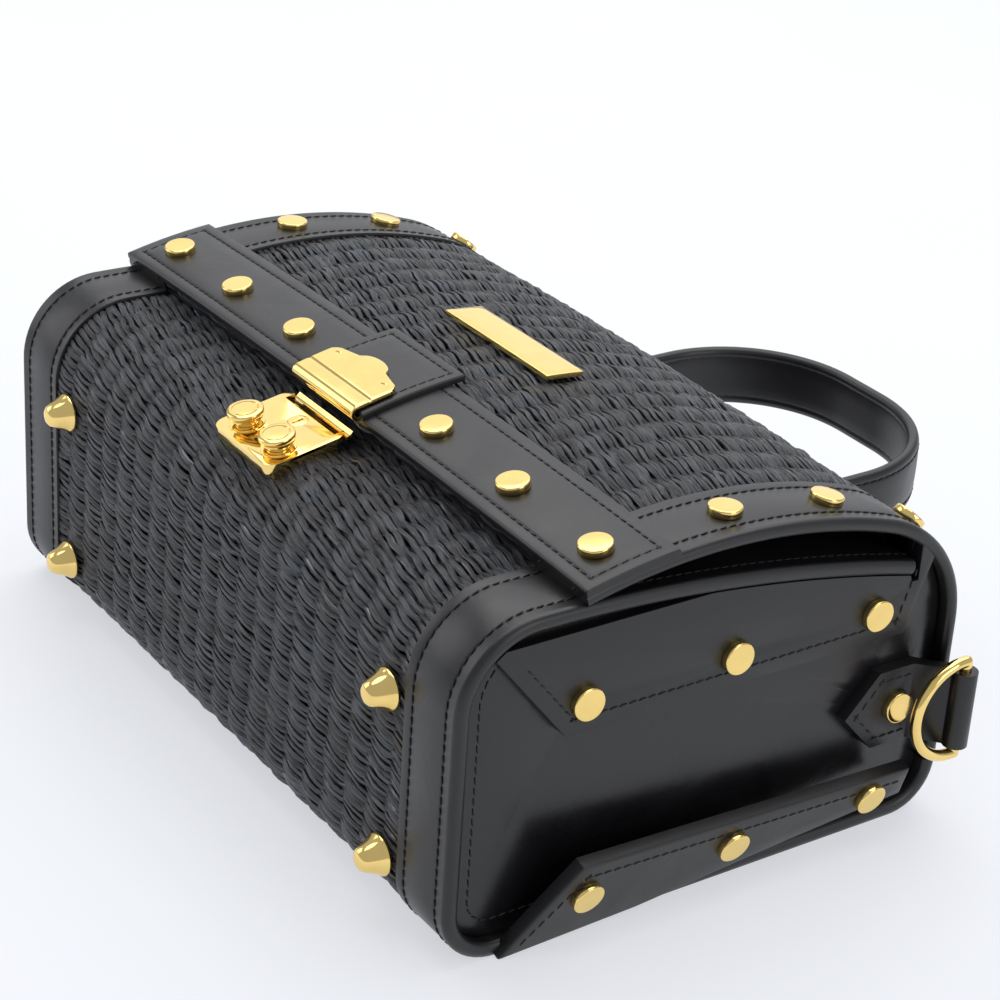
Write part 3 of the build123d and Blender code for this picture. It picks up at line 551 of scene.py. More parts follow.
def calf_leather(name, key, rough, grain, crease):
    """Black aniline calf: dyed through, glazed, a fine pore grain with soft creases and a low broad gloss."""
    c = settings("finishes")
    tree, shader, here = finish_shader(name)
    # Pores about 0.9 mm apart: real ones are near 0.3 mm, drawn coarser so that they show.
    pores = add(tree, "ShaderNodeTexVoronoi", {"Vector": here, "Scale": 1100}, feature="SMOOTH_F1")
    fine = add(tree, "ShaderNodeTexNoise", {"Vector": here, "Scale": 620, "Detail": 4.0})
    broad = add(tree, "ShaderNodeTexNoise", {"Vector": here, "Scale": 38, "Detail": 3.0, "Distortion": 0.6})
    tint = add(tree, "ShaderNodeMapRange", {"Value": broad, 1: 0.3, 2: 0.7, 3: 0.8, 4: 1.25})
    tinted = add(tree, "ShaderNodeVectorMath", {0: getattr(c, key)[:3], "Scale": tint}, operation="SCALE")
    levels = {"Value": broad, 1: 0.3, 2: 0.7, 3: rough - 0.05, 4: rough + 0.07}
    gloss = add(tree, "ShaderNodeMapRange", levels)
    height = add(tree, "ShaderNodeMath", {0: pores.outputs["Distance"], 1: fine, 2: 0.0}, operation="ADD")
    grained = add(tree, "ShaderNodeBump", {"Height": height, "Strength": grain, "Distance": 0.00006})
    creased = add(
        tree,
        "ShaderNodeBump",
        {"Height": broad, "Strength": crease, "Distance": 0.0011, "Normal": grained},
    )
    add_to(tree, shader, {"Base Color": tinted, "Roughness": gloss, "Normal": creased})
    shader.inputs["Specular IOR Level"].default_value = 0.5
    shader.inputs["Coat Weight"].default_value = 0.12
    shader.inputs["Coat Roughness"].default_value = 0.25


def sewing_thread():
    """Waxed polyester thread, twisted from three plies, dull black with a thin line of light."""
    c = settings("finishes")
    tree, shader, here = finish_shader("waxed_thread")
    twist = {"Vector": here, "Scale": 900, "Distortion": 0.5}
    ply = add(tree, "ShaderNodeTexWave", twist, bands_direction="DIAGONAL")
    tint = add(tree, "ShaderNodeMapRange", {"Value": ply.outputs["Fac"], 3: 0.6, 4: 1.5})
    tinted = add(tree, "ShaderNodeVectorMath", {0: c.thread[:3], "Scale": tint}, operation="SCALE")
    bump = add(tree, "ShaderNodeBump", {"Height": ply.outputs["Fac"], "Strength": 0.4, "Distance": 0.0001})
    add_to(tree, shader, {"Base Color": tinted, "Normal": bump})
    shader.inputs["Roughness"].default_value = 0.55


def metal(name, key, rough, scratch):
    """Plated and polished metal: mirror-like, with hairline polishing marks and slightly uneven gloss."""
    c = settings("finishes")
    tree, shader, here = finish_shader(name)
    drawn = {"Vector": here, "Scale": (0.12, 1, 1), "Rotation": (0.0, 0.3, 0.5)}
    hair = add(tree, "ShaderNodeMapping", drawn)
    marks = add(tree, "ShaderNodeTexNoise", {"Vector": hair, "Scale": 2600, "Detail": 2.0})
    cloud = add(tree, "ShaderNodeTexNoise", {"Vector": here, "Scale": 140, "Detail": 2.0})
    levels = {"Value": cloud, 1: 0.3, 2: 0.7, 3: rough * 0.75, 4: rough * 1.35}
    gloss = add(tree, "ShaderNodeMapRange", levels)
    bump = add(tree, "ShaderNodeBump", {"Height": marks, "Strength": scratch, "Distance": 0.00001})
    tint = add(tree, "ShaderNodeMapRange", {"Value": cloud, 1: 0.3, 2: 0.7, 3: 0.96, 4: 1.03})
    tinted = add(tree, "ShaderNodeVectorMath", {0: getattr(c, key)[:3], "Scale": tint}, operation="SCALE")
    add_to(tree, shader, {"Base Color": tinted, "Roughness": gloss, "Normal": bump})
    shader.inputs["Metallic"].default_value = 1.0


def lining_cloth():
    """Plain-woven cotton twill, dull and soft, whose threads show as a fine grid."""
    c = settings("finishes")
    tree, shader, here = finish_shader("cotton_lining")
    # Threads 0.9 mm apart, coarser than the real 0.4 mm so that they show.
    threads = {"Vector": here, "Scale": 350, "Distortion": 0.3}
    warp = add(tree, "ShaderNodeTexWave", threads, bands_direction="X")
    weft = add(tree, "ShaderNodeTexWave", threads, bands_direction="Y")
    both = add(tree, "ShaderNodeMath", {0: warp.outputs["Fac"], 1: weft.outputs["Fac"]}, operation="MULTIPLY")
    tint = add(tree, "ShaderNodeMapRange", {"Value": both, 3: 0.65, 4: 1.3})
    tinted = add(tree, "ShaderNodeVectorMath", {0: c.lining[:3], "Scale": tint}, operation="SCALE")
    bump = add(tree, "ShaderNodeBump", {"Height": both, "Strength": 0.5, "Distance": 0.0002})
    add_to(tree, shader, {"Base Color": tinted, "Normal": bump})
    shader.inputs["Roughness"].default_value = 0.85
    shader.inputs["Sheen Weight"].default_value = 0.25


def studio_floor():
    """Matt studio paper, very pale and a little cool, lit through from below so that shadows stay soft."""
    c = settings("finishes")
    tree, shader, here = finish_shader("studio_paper")
    mottle = add(tree, "ShaderNodeTexNoise", {"Vector": here, "Scale": 4, "Detail": 2.0})
    tint = add(tree, "ShaderNodeMapRange", {"Value": mottle, 1: 0.3, 2: 0.7, 3: 0.345, 4: 0.355})
    tinted = add(tree, "ShaderNodeVectorMath", {0: c.floor[:3], "Scale": tint}, operation="SCALE")
    add_to(tree, shader, {"Base Color": tinted})
    shader.inputs["Roughness"].default_value = 0.7
    shader.inputs["Emission Color"].default_value = c.floor
    shader.inputs["Emission Strength"].default_value = 0.62


class WICKER_OT_finishes(Operator):
    """Make the materials of rush, leather, thread, brass, steel, cloth and paper"""

    bl_idname = "wicker.finishes"
    bl_label = "Finishes"

    def execute(self, context):
        dyed_rush()
        calf_leather("calf_leather", "leather", 0.4, 0.35, 0.25)
        calf_leather("glazed_calf", "leather", 0.26, 0.2, 0.3)
        calf_leather("cut_leather", "leather_edge", 0.6, 0.8, 0.1)
        sewing_thread()
        metal("gilt_brass", "brass", 0.09, 0.25)
        metal("plain_steel", "steel", 0.3, 0.6)
        lining_cloth()
        studio_floor()
        return {"FINISHED"}


# ---- Weave ----
def strand_tree():
    """Turns guide lines into flattened strands, two twined in each row, that rise over one stake in turn."""
    tree, given = start_tree(
        "Rush strands",
        {
            "Stake Pitch": "Float",
            "Rise": "Float",
            "Twine": "Float",
            "Strand Width": "Float",
            "Strand Thickness": "Float",
            "Unevenness": "Float",
            "Seed": "Int",
            "Material": "Material",
        },
    )
    across, row, twin, press = (
        add(tree, "GeometryNodeInputNamedAttribute", {"Name": name}, data_type="FLOAT")
        for name in ("across", "row", "twin", "press")
    )
    out, slide = (
        add(tree, "GeometryNodeInputNamedAttribute", {"Name": name}, data_type="FLOAT_VECTOR")
        for name in ("out", "slide")
    )
    drawn = add(tree, "ShaderNodeMath", {0: across, 1: 0.045}, operation="MULTIPLY")
    apart = add(tree, "ShaderNodeMath", {0: twin, 1: 0.43, 2: row}, operation="MULTIPLY_ADD")
    spread = add(tree, "ShaderNodeMath", {0: apart, 1: 7.31}, operation="MULTIPLY")
    spot = add(tree, "ShaderNodeCombineXYZ", {"X": drawn, "Y": spread, "Z": given["Seed"]})
    broad_noise = add(tree, "ShaderNodeTexNoise", {"Vector": spot, "Scale": 1.0, "Detail": 1.0})
    close_noise = add(tree, "ShaderNodeTexNoise", {"Vector": spot, "Scale": 3.1, "Detail": 1.0})
    broad = add(tree, "ShaderNodeSeparateXYZ", {0: broad_noise.outputs["Color"]})
    close = add(tree, "ShaderNodeSeparateXYZ", {0: close_noise.outputs["Color"]})

    def stray(source, amount):
        """A value about zero that grows with the unevenness."""
        middle = add(tree, "ShaderNodeMath", {0: source, 1: 0.5}, operation="SUBTRACT")
        scaled = add(tree, "ShaderNodeMath", {0: middle, 1: given["Unevenness"]}, operation="MULTIPLY")
        return add(tree, "ShaderNodeMath", {0: scaled, 1: amount}, operation="MULTIPLY")

    steps = add(tree, "ShaderNodeMath", {0: across, 1: given["Stake Pitch"]}, operation="DIVIDE")
    phase = add(tree, "ShaderNodeMath", {0: steps, 1: twin}, operation="ADD")
    strayed = add(tree, "ShaderNodeMath", {0: phase, 1: stray(broad.outputs[0], 0.5)}, operation="ADD")
    turn = add(tree, "ShaderNodeMath", {0: strayed, 1: math.pi}, operation="MULTIPLY")
    wave = add(tree, "ShaderNodeMath", {0: turn}, operation="COSINE")
    cross = add(tree, "ShaderNodeMath", {0: turn}, operation="SINE")
    free = add(tree, "ShaderNodeMath", {0: press, 1: -0.75, 2: 1.0}, operation="MULTIPLY_ADD")
    eased = add(tree, "ShaderNodeMath", {0: free, 1: given["Rise"]}, operation="MULTIPLY")
    rising = add(tree, "ShaderNodeMath", {0: wave, 1: eased}, operation="MULTIPLY")
    lift = add(tree, "ShaderNodeMath", {0: rising, 1: stray(close.outputs[1], 0.0009)}, operation="ADD")
    outward = add(tree, "ShaderNodeVectorMath", {0: out, "Scale": lift}, operation="SCALE")
    crossing = add(tree, "ShaderNodeMath", {0: cross, 1: given["Twine"]}, operation="MULTIPLY")
    shift = add(tree, "ShaderNodeMath", {0: crossing, 1: stray(close.outputs[0], 0.0022)}, operation="ADD")
    sideways = add(tree, "ShaderNodeVectorMath", {0: slide, "Scale": shift}, operation="SCALE")
    offset = add(tree, "ShaderNodeVectorMath", {0: outward, 1: sideways}, operation="ADD")
    toned = add(
        tree,
        "GeometryNodeStoreNamedAttribute",
        {
            "Geometry": given["Geometry"],
            "Name": "tone",
            "Value": add(tree, "ShaderNodeMapRange", {"Value": broad.outputs[1], 1: 0.38, 2: 0.62}),
        },
        data_type="FLOAT",
        domain="POINT",
    )
    waved = add(tree, "GeometryNodeSetPosition", {"Geometry": toned, "Offset": offset})
    lines = add(tree, "GeometryNodeMeshToCurve", {0: waved})
    leaning = add(
        tree, "ShaderNodeVectorMath", {0: slide, "Scale": stray(broad.outputs[2], 3.0)}, operation="SCALE"
    )
    facing = add(tree, "ShaderNodeVectorMath", {0: out, 1: leaning}, operation="ADD")
    turned_lines = add(tree, "GeometryNodeSetCurveNormal", {"Curve": lines, "Normal": facing}, mode="FREE")
    swell = add(tree, "ShaderNodeMath", {0: wave, 1: 0.24, 2: 1.0}, operation="MULTIPLY_ADD")
    uneven = add(tree, "ShaderNodeMath", {0: swell, 1: stray(close.outputs[2], 1.1)}, operation="ADD")
    half = add(tree, "ShaderNodeMath", {0: given["Strand Width"], 1: 0.5}, operation="MULTIPLY")
    radius = add(tree, "ShaderNodeMath", {0: uneven, 1: half}, operation="MULTIPLY")
    ring = add(tree, "GeometryNodeCurvePrimitiveCircle", {"Resolution": 6, "Radius": 1.0})
    edgewise = add(tree, "ShaderNodeSeparateXYZ", {0: add(tree, "GeometryNodeInputPosition")})
    marked = add(
        tree,
        "GeometryNodeStoreNamedAttribute",
        {"Geometry": ring, "Name": "around", "Value": edgewise.outputs[1]},
        data_type="FLOAT",
        domain="POINT",
    )
    share = add(
        tree, "ShaderNodeMath", {0: given["Strand Thickness"], 1: given["Strand Width"]}, operation="DIVIDE"
    )
    flat = add(tree, "ShaderNodeCombineXYZ", {"X": share, "Y": 1.0, "Z": 1.0})
    profile = add(tree, "GeometryNodeTransform", {"Geometry": marked, "Scale": flat})
    body = add(
        tree,
        "GeometryNodeCurveToMesh",
        {"Curve": turned_lines, "Profile Curve": profile, "Scale": radius, "Fill Caps": True},
    )
    end_tree(tree, body, given["Material"])
    return tree


def weave_guides(name, outline, runs, half, sink, drift, press=None):
    """Guide lines of the rows of rush at some runs of an outline, two strands to a row."""
    across = np.linspace(-half, half, int(2 * half / 2.4))
    doubled = np.repeat(runs, 2)
    count, many = len(across), len(doubled)
    x, run = np.meshgrid(across, doubled)
    pressed = 0 * x if press is None else press(x, run)
    points = outline.place(x, run, -sink - settings("weave").press * pressed).reshape(-1, 3)
    out = outline.out(run).reshape(-1, 3)
    slide = np.stack([np.zeros(len(out)), -out[:, 2], out[:, 1]], 1)
    # Each part of a wall starts at a row number of its own, so that its irregularity doesn't repeat.
    rows = np.repeat(np.arange(many) // 2, count).astype(float) + round(float(runs[0]) / 1.7) * 2
    twins = np.repeat(np.arange(many) % 2, count)
    edges = [(i * count + j, i * count + j + 1) for i in range(many) for j in range(count - 1)]
    facts = {"across": (x - drift(run)).ravel(), "row": rows, "twin": twins, "press": pressed.ravel()}
    return guide(name, points, edges, out=out, slide=slide, **facts)


def stake_guides(name, outline, first, last, half, sink, pitch, drift, press=None):
    """Guide lines of the stakes, which run round the outline under the rush."""
    runs = np.linspace(first, last, int((last - first) / 3))
    places = np.arange(-int(half / pitch), int(half / pitch) + 1) * pitch
    run, x = np.meshgrid(runs, places)
    shifted = np.clip(x + drift(run), -half, half)
    pressed = 0 * run if press is None else press(shifted, run)
    points = outline.place(shifted, run, -sink - settings("weave").press * pressed).reshape(-1, 3)
    out = outline.out(run).reshape(-1, 3)
    count = len(runs)
    edges = [(i * count + j, i * count + j + 1) for i in range(len(places)) for j in range(count - 1)]
    slide = np.tile([1.0, 0.0, 0.0], (len(out), 1))
    facts = {"across": run.ravel(), "row": x.ravel(), "twin": 0 * x.ravel(), "press": 0 * x.ravel()}
    return guide(name, points, edges, out=out, slide=slide, **facts)


def wall_bed(name, outline, first, last, half, near, far, body, press=None):
    """The dark inner side of a woven wall, seen between the strands."""
    runs = np.linspace(first, last, int((last - first) / 2.5))
    across = np.linspace(-half, half, 61)
    x, run = np.meshgrid(across, runs)
    pressed = 0 * x if press is None else press(x, run)
    points, faces = slab(outline.place(x, run, -near - 0.85 * pressed), outline.place(x, run, -far))
    return piece(name, points, faces, FINISHES["dyed_rush"], body, (), "wicker")


class WICKER_OT_weave(Operator):
    """Weave the tray and the lid: rows of flattened rush over stakes, on a dark bed"""

    bl_idname = "wicker.weave"
    bl_label = "Weave"

    def execute(self, context):
        w, b, l = settings("weave"), settings("bag"), settings("leather")
        tray, lid = outlines()
        half = b.half_width - l.binding + 1
        strands = strand_tree()
        common = {
            "Stake Pitch": w.stake_pitch,
            "Unevenness": w.uneven,
            "Seed": w.seed,
            "Material": FINISHES["dyed_rush"],
        }
        woven = common | {
            "Rise": w.rise / 1000,
            "Twine": w.twine / 1000,
            "Strand Width": w.broad / 1000,
            "Strand Thickness": w.thick / 1000,
        }
        staked = common | {
            "Rise": 0.0,
            "Twine": 0.0,
            "Strand Width": w.stake / 1000,
            "Strand Thickness": w.stake * 0.6 / 1000,
        }
        bottom = tray.run_at(b.back_bottom, front=False)

        lean, lean_run = 7, 85

        def tray_drift(run):
            """The bottom's stakes lean across the bag."""
            return np.interp(run, [0, bottom, bottom + lean_run, tray.length], [0, 0, lean, lean])

        def lid_drift(run):
            """The lid's stakes stand straight."""
            return 0.0 * run

        lock_run, pressed_half, pressed_reach = tray.run_at(20), 25, 20

        def round_lock(x, run):
            """How far the weave is pressed in under and beside the lock."""
            return np.exp(-((x / pressed_half) ** 6)) * np.exp(-(((run - lock_run) / pressed_reach) ** 6))

        rim_cover = 11
        rim = tray.length - rim_cover
        runs = np.arange(1.2, rim, w.pitch)
        parts = np.array_split(runs, 3)
        for name, part, nodes in zip(("back", "bottom", "front"), parts, (("wicker_body",), (), ())):
            made = weave_guides(f"tray_{name}_weave", tray, part, half, w.sink, tray_drift, round_lock)
            grow(made, strands, woven, "basket", nodes)
        sink = w.sink * b.lid_wall / b.tray_wall
        parts = np.array_split(np.arange(1.2, lid.length - 0.6, w.pitch), 2)
        for name, part, nodes in zip(("top", "front"), parts, (("wicker_lid",), ())):
            made = weave_guides(f"lid_{name}_weave", lid, part, half, sink, lid_drift)
            grow(made, strands, woven, "lid", nodes)
        # Middles of the stakes and outer faces of the beds lie this far below the outer faces of the walls.
        tray_stake, lid_stake, tray_bed, lid_bed = 2.2, 1.9, 2.9, 2.5
        inner, pitch = half - 2, w.stake_pitch
        made = stake_guides("tray_stakes", tray, 2, rim, inner, tray_stake, pitch, tray_drift, round_lock)
        grow(made, strands, staked, "basket", ())
        made = stake_guides("lid_stakes", lid, 2, lid.length - 2, inner, lid_stake, pitch, lid_drift)
        grow(made, strands, staked, "lid", ())
        wall_bed("tray_bed", tray, 0.5, rim, half, tray_bed, b.tray_wall, "basket", round_lock)
        wall_bed("lid_bed", lid, 0.5, lid.length - 0.5, half, lid_bed, b.lid_wall, "lid")
        return {"FINISHED"}


# ---- Linings ----
class WICKER_OT_linings(Operator):
    """Line the tray and the lid with cotton cloth"""

    bl_idname = "wicker.linings"
    bl_label = "Linings"

    def execute(self, context):
        b, l = settings("bag"), settings("leather")
        tray, lid = outlines()
        half = b.half_width - l.binding
        rim = tray.run_at(b.height - b.rim_below - 12)
        for name, outline, first, last, near, body, node, bed in (
            ("tray_lining_cloth", tray, 0.5, rim, b.tray_wall + 0.1, "basket", "body_lining", "tray_bed"),
            ("lid_lining_cloth", lid, 1.0, lid.run_at(62), b.lid_wall + 0.1, "lid", "lid_lining", "lid_bed"),
        ):
            runs = np.linspace(first, last, int((last - first) / 2.5))
            x, run = np.meshgrid(np.linspace(-half, half, 41), runs)
            # The cloth is glued at its edges and lies a little slack between them.
            slack = 0.25 * np.sin(x * 0.21 + run * 0.05) * np.sin(run * 0.16) * np.cos(math.pi * x / 2 / half)
            near_points = outline.place(x, run, -near - 0.3 + slack)
            points, faces = slab(near_points, outline.place(x, run, -near - 0.8 + slack))
            made = piece(name, points, faces, FINISHES["cotton_lining"], body, (node,), "lining")
            inner = outline.place(0 * runs, runs, -near - 0.5)
            size = float(np.linalg.norm(np.diff(inner, axis=0), axis=1).sum())
        return {"FINISHED"}


# ---- Leather ----
SEAMS = {"basket": [], "lid": []}
# Half the breadth of the hollow that a stitch line presses into leather, in millimetres.
HOLLOW = 0.42


def seam(body, points, out):
    """Marks a stitch line, which the stitching follows."""
    points = np.asarray(points, float)
    SEAMS[body].append((points, np.broadcast_to(out, points.shape)))


def spaced(width, radius, insets, step):
    """Places across a piece of leather, close together at its rounded edges and its stitch lines."""
    near = [0, 0.12 * radius, 0.4 * radius, radius]
    for inset in insets:
        near += [inset - 0.8, inset - 0.4, inset, inset + 0.4, inset + 0.8]
    near = [place for place in near if place < width / 2]
    middle = np.linspace(near[-1], width - near[-1], max(2, int((width - 2 * near[-1]) / step)))[1:-1]
    return np.concatenate([near, middle, width - np.array(near[::-1])])


def leather_rise(inset, thick, radius, seams, groove):
    """Height of leather at a distance inside its edge, rounded there and sunk along its stitch lines."""
    inside = np.clip(inset, 0, radius)
    height = thick - radius + np.sqrt(np.maximum(radius**2 - (radius - inside) ** 2, 0))
    for line in seams:
        height = height - groove * np.exp(-(((inset - line) / HOLLOW) ** 2))
    return height


def strap_piece(name, outline, across, along, base, thick, body, stands_for, material, seams):
    """A flat piece of leather laid on a wall, with rounded edges and stitch lines sunk all round."""
    l = settings("leather")
    us = across[0] + spaced(across[1] - across[0], l.edge, seams, 3.0)
    vs = along[0] + spaced(along[1] - along[0], l.edge, seams, 3.0)
    u, v = np.meshgrid(us, vs)
    side = np.minimum(u - across[0], across[1] - u)
    end = np.minimum(v - along[0], along[1] - v)
    rise = leather_rise(np.minimum(side, end), thick, l.edge, seams, l.groove)
    top = outline.place(u, v, base + rise)
    points, faces = slab(top, outline.place(u, v, base + 0 * rise))
    piece(name, points, faces, FINISHES[material], body, stands_for, "leather")
    level = base + thick - l.groove * 0.6
    for line in seams:
        u0, u1, v0, v1 = across[0] + line, across[1] - line, along[0] + line, along[1] - line
        legs = [((u0, v0), (u0, v1)), ((u1, v0), (u1, v1)), ((u0, v0), (u1, v0)), ((u0, v1), (u1, v1))]
        for a, b in legs:
            count = max(2, int(max(abs(b[0] - a[0]), abs(b[1] - a[1])) / 4))
            x, run = np.linspace(a[0], b[0], count), np.linspace(a[1], b[1], count)
            seam(body, outline.place(x, run, level), outline.out(run))


class WICKER_OT_bindings(Operator):
    """Bind the side edges of the tray and the lid in leather, and the tray's front rim"""

    bl_idname = "wicker.bindings"
    bl_label = "Bindings"

    def execute(self, context):
        b, l = settings("bag"), settings("leather")
        tray, lid = outlines()
        calf, lines, width = FINISHES["calf_leather"], (3.6, 18.6), l.binding
        walls = ((tray, b.tray_wall, "basket", "tray"), (lid, b.lid_wall, "lid", "lid"))
        for outline, wall, body, part in walls:
            across = spaced(2 * width, 0.5, lines, 1.6)
            across = across[across < width - 3.2]
            top = 0.5 - l.groove * sum(np.exp(-(((across - line) / HOLLOW) ** 2)) for line in lines)
            top += 0.12 * np.cos((across - 11) / 8 * math.pi) - 0.12
            top[0], top[1], top[2] = -0.7, -0.1, 0.3
            roll = np.radians(np.linspace(112, -80, 11))
            middle, half = (width - 1.95, -wall / 2 + 0.1), wall / 2 + 0.35
            roll_x = middle[0] + 1.95 * np.cos(roll)
            roll_y = middle[1] + half * np.sin(roll)
            section_x = np.concatenate([across, roll_x, [width - 3.5, width / 2, 0.0]])
            section_y = np.concatenate([top, roll_y, [-wall, -wall, -wall]])
            runs = np.linspace(0, outline.length, int(outline.length / 2.2))
            for side, hand in ((-1, "left"), (1, "right")):
                x = side * (b.half_width - width + section_x)
                points, faces = swept([outline.place(x, np.full(len(x), run), section_y) for run in runs])
                node = f"body_binding_{hand}" if body == "basket" else f"lid_binding_{hand}"
                piece(f"{part}_side_binding_{hand}", points, faces, calf, body, (node,), "leather")
                for line in lines:
                    x = side * (b.half_width - width + line)
                    seam(body, outline.place(0 * runs + x, runs, 0.5 - l.groove * 0.7), outline.out(runs))
        width = b.half_width - l.binding
        edge = tray.length
        stitched = 8.8
        profile = [(edge - 12, 0.1), (edge - 11.7, 0.8), (edge - 11, 1.05), (edge - 9.2, 1.05)]
        profile += [(edge - stitched, 0.85), (edge - 8.4, 1.05), (edge - 4, 1.05)]
        profile += [(edge - 1, 1.0), (edge, 0.8)]
        over = np.radians(np.linspace(80, -80, 7))
        half = b.tray_wall / 2
        profile += [(edge + 0.9 * math.cos(a), -half + (half + 0.9) * math.sin(a)) for a in over]
        wall = -b.tray_wall
        profile += [(edge, wall - 0.8), (edge - 8, wall - 1.0), (edge - 11.5, wall - 0.9), (edge - 12, wall)]
        run, lift = np.array(profile).T
        # Past its end the outline carries straight on.
        over_run = np.maximum(run - edge, 0)
        slope = tray.points[-1] - tray.points[-2]
        slope = np.concatenate([[0], slope / np.linalg.norm(slope)])
        sections = [
            tray.place(np.full(len(run), x), run, lift) + over_run[:, None] * slope
            for x in np.linspace(-width, width, 40)
        ]
        points, faces = swept(sections)
        piece("rim_binding", points, faces, calf, "basket", ("front_rim_binding",), "leather")
        x = np.linspace(-width + 1, width - 1, 60)
        runs = np.full(60, edge - stitched)
        seam("basket", tray.place(x, runs, 0.95), tray.out(runs))
        return {"FINISHED"}


class WICKER_OT_strap(Operator):
    """Lay the stitched strap over the lid's front edge, and the lock tab on it"""

    bl_idname = "wicker.strap"
    bl_label = "Front strap"

    def execute(self, context):
        b, l = settings("bag"), settings("leather")
        lid = outlines()[1]
        top, low = lid.run_at(l.strap_top), lid.length
        strap_piece(
            "front_strap_leather",
            lid,
            (-b.half_width, b.half_width),
            (top, low),
            0.0,
            l.strap,
            "lid",
            ("front_strap",),
            "calf_leather",
            (l.seam,),
        )
        half = l.tab_width / 2
        strap_piece(
            "lock_tab_leather",
            lid,
            (-half, half),
            (lid.run_at(l.tab_top), low),
            l.strap - 0.1,
            l.strap,
            "lid",
            ("lock_tab",),
            "calf_leather",
            (3.0,),
        )
        return {"FINISHED"}


BACK_TAB_LEAN = math.radians(15.4)
# Distances of the sewn faces on the tray's ends from the bag's middle, in millimetres.
PANEL_FACE, FLAP_FACE, TAB_FACE = 119.7, 123.5, 123.7


def on_back_tab(side, height, rise, lift=0.0):
    """Points at heights and rises up the outer face of a leaning back tab."""
    foot = settings("bag").half_width + 2
    x = side * (foot + math.sin(BACK_TAB_LEAN) * rise + math.cos(BACK_TAB_LEAN) * lift)
    z = math.cos(BACK_TAB_LEAN) * rise - math.sin(BACK_TAB_LEAN) * lift
    return np.stack(np.broadcast_arrays(x, height, z), -1)


def sewn_legs(corners, place, out):
    """Stitch lines along the straight legs between corners of a flat piece on the tray."""
    corners = np.array(corners, float)
    for start, stop in zip(corners, corners[1:]):
        steps = np.linspace(0, 1, max(2, int(np.linalg.norm(stop - start) / 4)))[:, None]
        seam("basket", place(start + (stop - start) * steps), out)


class WICKER_OT_ends(Operator):
    """Make the leather ends of the tray with their riveted tabs"""

    bl_idname = "wicker.ends"
    bl_label = "Ends and tabs"

    def execute(self, context):
        tray = outlines()[0]
        calf, glazed = FINISHES["calf_leather"], FINISHES["glazed_calf"]
        for side, hand in ((-1, "left"), (1, "right")):
            eased_copy(f"end_panel_{hand}", f"end_leather_{hand}", 0.3, glazed, "basket", "leather")
            eased_copy(f"front_tab_{hand}", f"front_flap_{hand}", 0.6, calf, "basket", "leather")
            eased_copy(f"d_ring_tab_{hand}", f"ring_loop_{hand}", 0.6, calf, "basket", "leather")
            self.make_back_flap(side, hand, calf)
            runs = np.linspace(20, tray.length - 10, 180)
            seam("basket", tray.place(np.full(180, side * PANEL_FACE), runs, -9.2), (side, 0, 0))

            def on_end(x):
                """Places flat points at one distance out from the bag's middle."""
                return lambda spots: np.column_stack([np.full(len(spots), side * x), spots])

            flap = ((21.3, 84), (36.1, 66), (144.9, 66), (149.5, 80))
            sewn_legs(flap, on_end(FLAP_FACE), (side, 0, 0))
            tab = ((152, 29), (142.5, 29), (134.5, 38), (142.5, 47), (152, 47))
            sewn_legs(tab, on_end(TAB_FACE), (side, 0, 0))
        return {"FINISHED"}

    def make_back_flap(self, side, hand, calf):
        """A leaning strip, deep at the bag's bottom and tapering towards its top, sewn along two edges."""
        edge, thick = settings("leather").edge, 4.1
        long, broad = 118, 18
        # The near end slants from its low corner to its high one. The far end is square.
        near, slant, far = 16, 20, 150
        corner = near + slant
        u, v = np.meshgrid(spaced(long, edge, (), 4) / long, spaced(broad, edge, (), 3) / broad)
        height = (near + slant * v) * (1 - u) + far * u
        low = np.interp(height, (near, 60, 100, far), (0, 2, 7, 12))
        high = 27.5 - 5.5 * (height - corner) / (far - corner)
        inset = np.minimum(np.minimum(u, 1 - u) * long, np.minimum(v, 1 - v) * (high - low))
        lift = leather_rise(inset, thick, edge, (), 0) - thick
        rise = low + (high - low) * v
        points, faces = slab(on_back_tab(side, height, rise, lift), on_back_tab(side, height, rise, -thick))
        piece(f"back_flap_{hand}", points, faces, calf, "basket", (f"back_tab_{hand}",), "leather")
        out = (side * math.cos(BACK_TAB_LEAN), 0, -math.sin(BACK_TAB_LEAN))
        line = ((22.5, 4.5), (38.5, 23), (146, 18))
        sewn_legs(line, lambda spots: on_back_tab(side, spots[:, 0], spots[:, 1], 0.05), out)


class WICKER_OT_hinge(Operator):
    """Lay one strip of leather over the joint between the tray and the lid"""

    bl_idname = "wicker.hinge"
    bl_label = "Leather hinge"

    def execute(self, context):
        b, l = settings("bag"), settings("leather")
        tray, lid = outlines()
        half = b.half_width - l.binding
        back = np.linspace(l.hinge_reach + 0.5, 0, 14)
        ahead = np.linspace(0, l.hinge_reach, 14)
        xs = np.linspace(-half, half, 60)
        rise = leather_rise(np.linspace(0, 1, 28) * 23, l.hinge, 0.5, (), 0)
        rise = np.minimum(rise, rise[::-1])

        def at(lift):
            low = [tray.place(xs, np.full(60, run), value) for run, value in zip(back, lift[:14])]
            high = [lid.place(xs, np.full(60, run), value) for run, value in zip(ahead, lift[14:])]
            return np.array(low + high)

        points, faces = slab(at(rise), at(0 * rise))
        made = piece("leather_hinge", points, faces, FINISHES["calf_leather"], None)
        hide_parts("back_hinge_strip", "lid_hinge_strip")
        middle = (b.height + BOTTOM) / 1000
        start, end = (0, middle, (b.back_top - 3) / 1000), (0, middle, (b.back_top + 3.3) / 1000)
        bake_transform(made)
        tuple(start)
        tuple(end)
        x = np.linspace(-half + 1, half - 1, 60)
        for body, outline, run in (("basket", tray, l.hinge_reach - 2.2), ("lid", lid, l.hinge_reach - 2.8)):
            runs = np.full(60, run)
            seam(body, outline.place(x, runs, l.hinge), outline.out(runs))
        return {"FINISHED"}


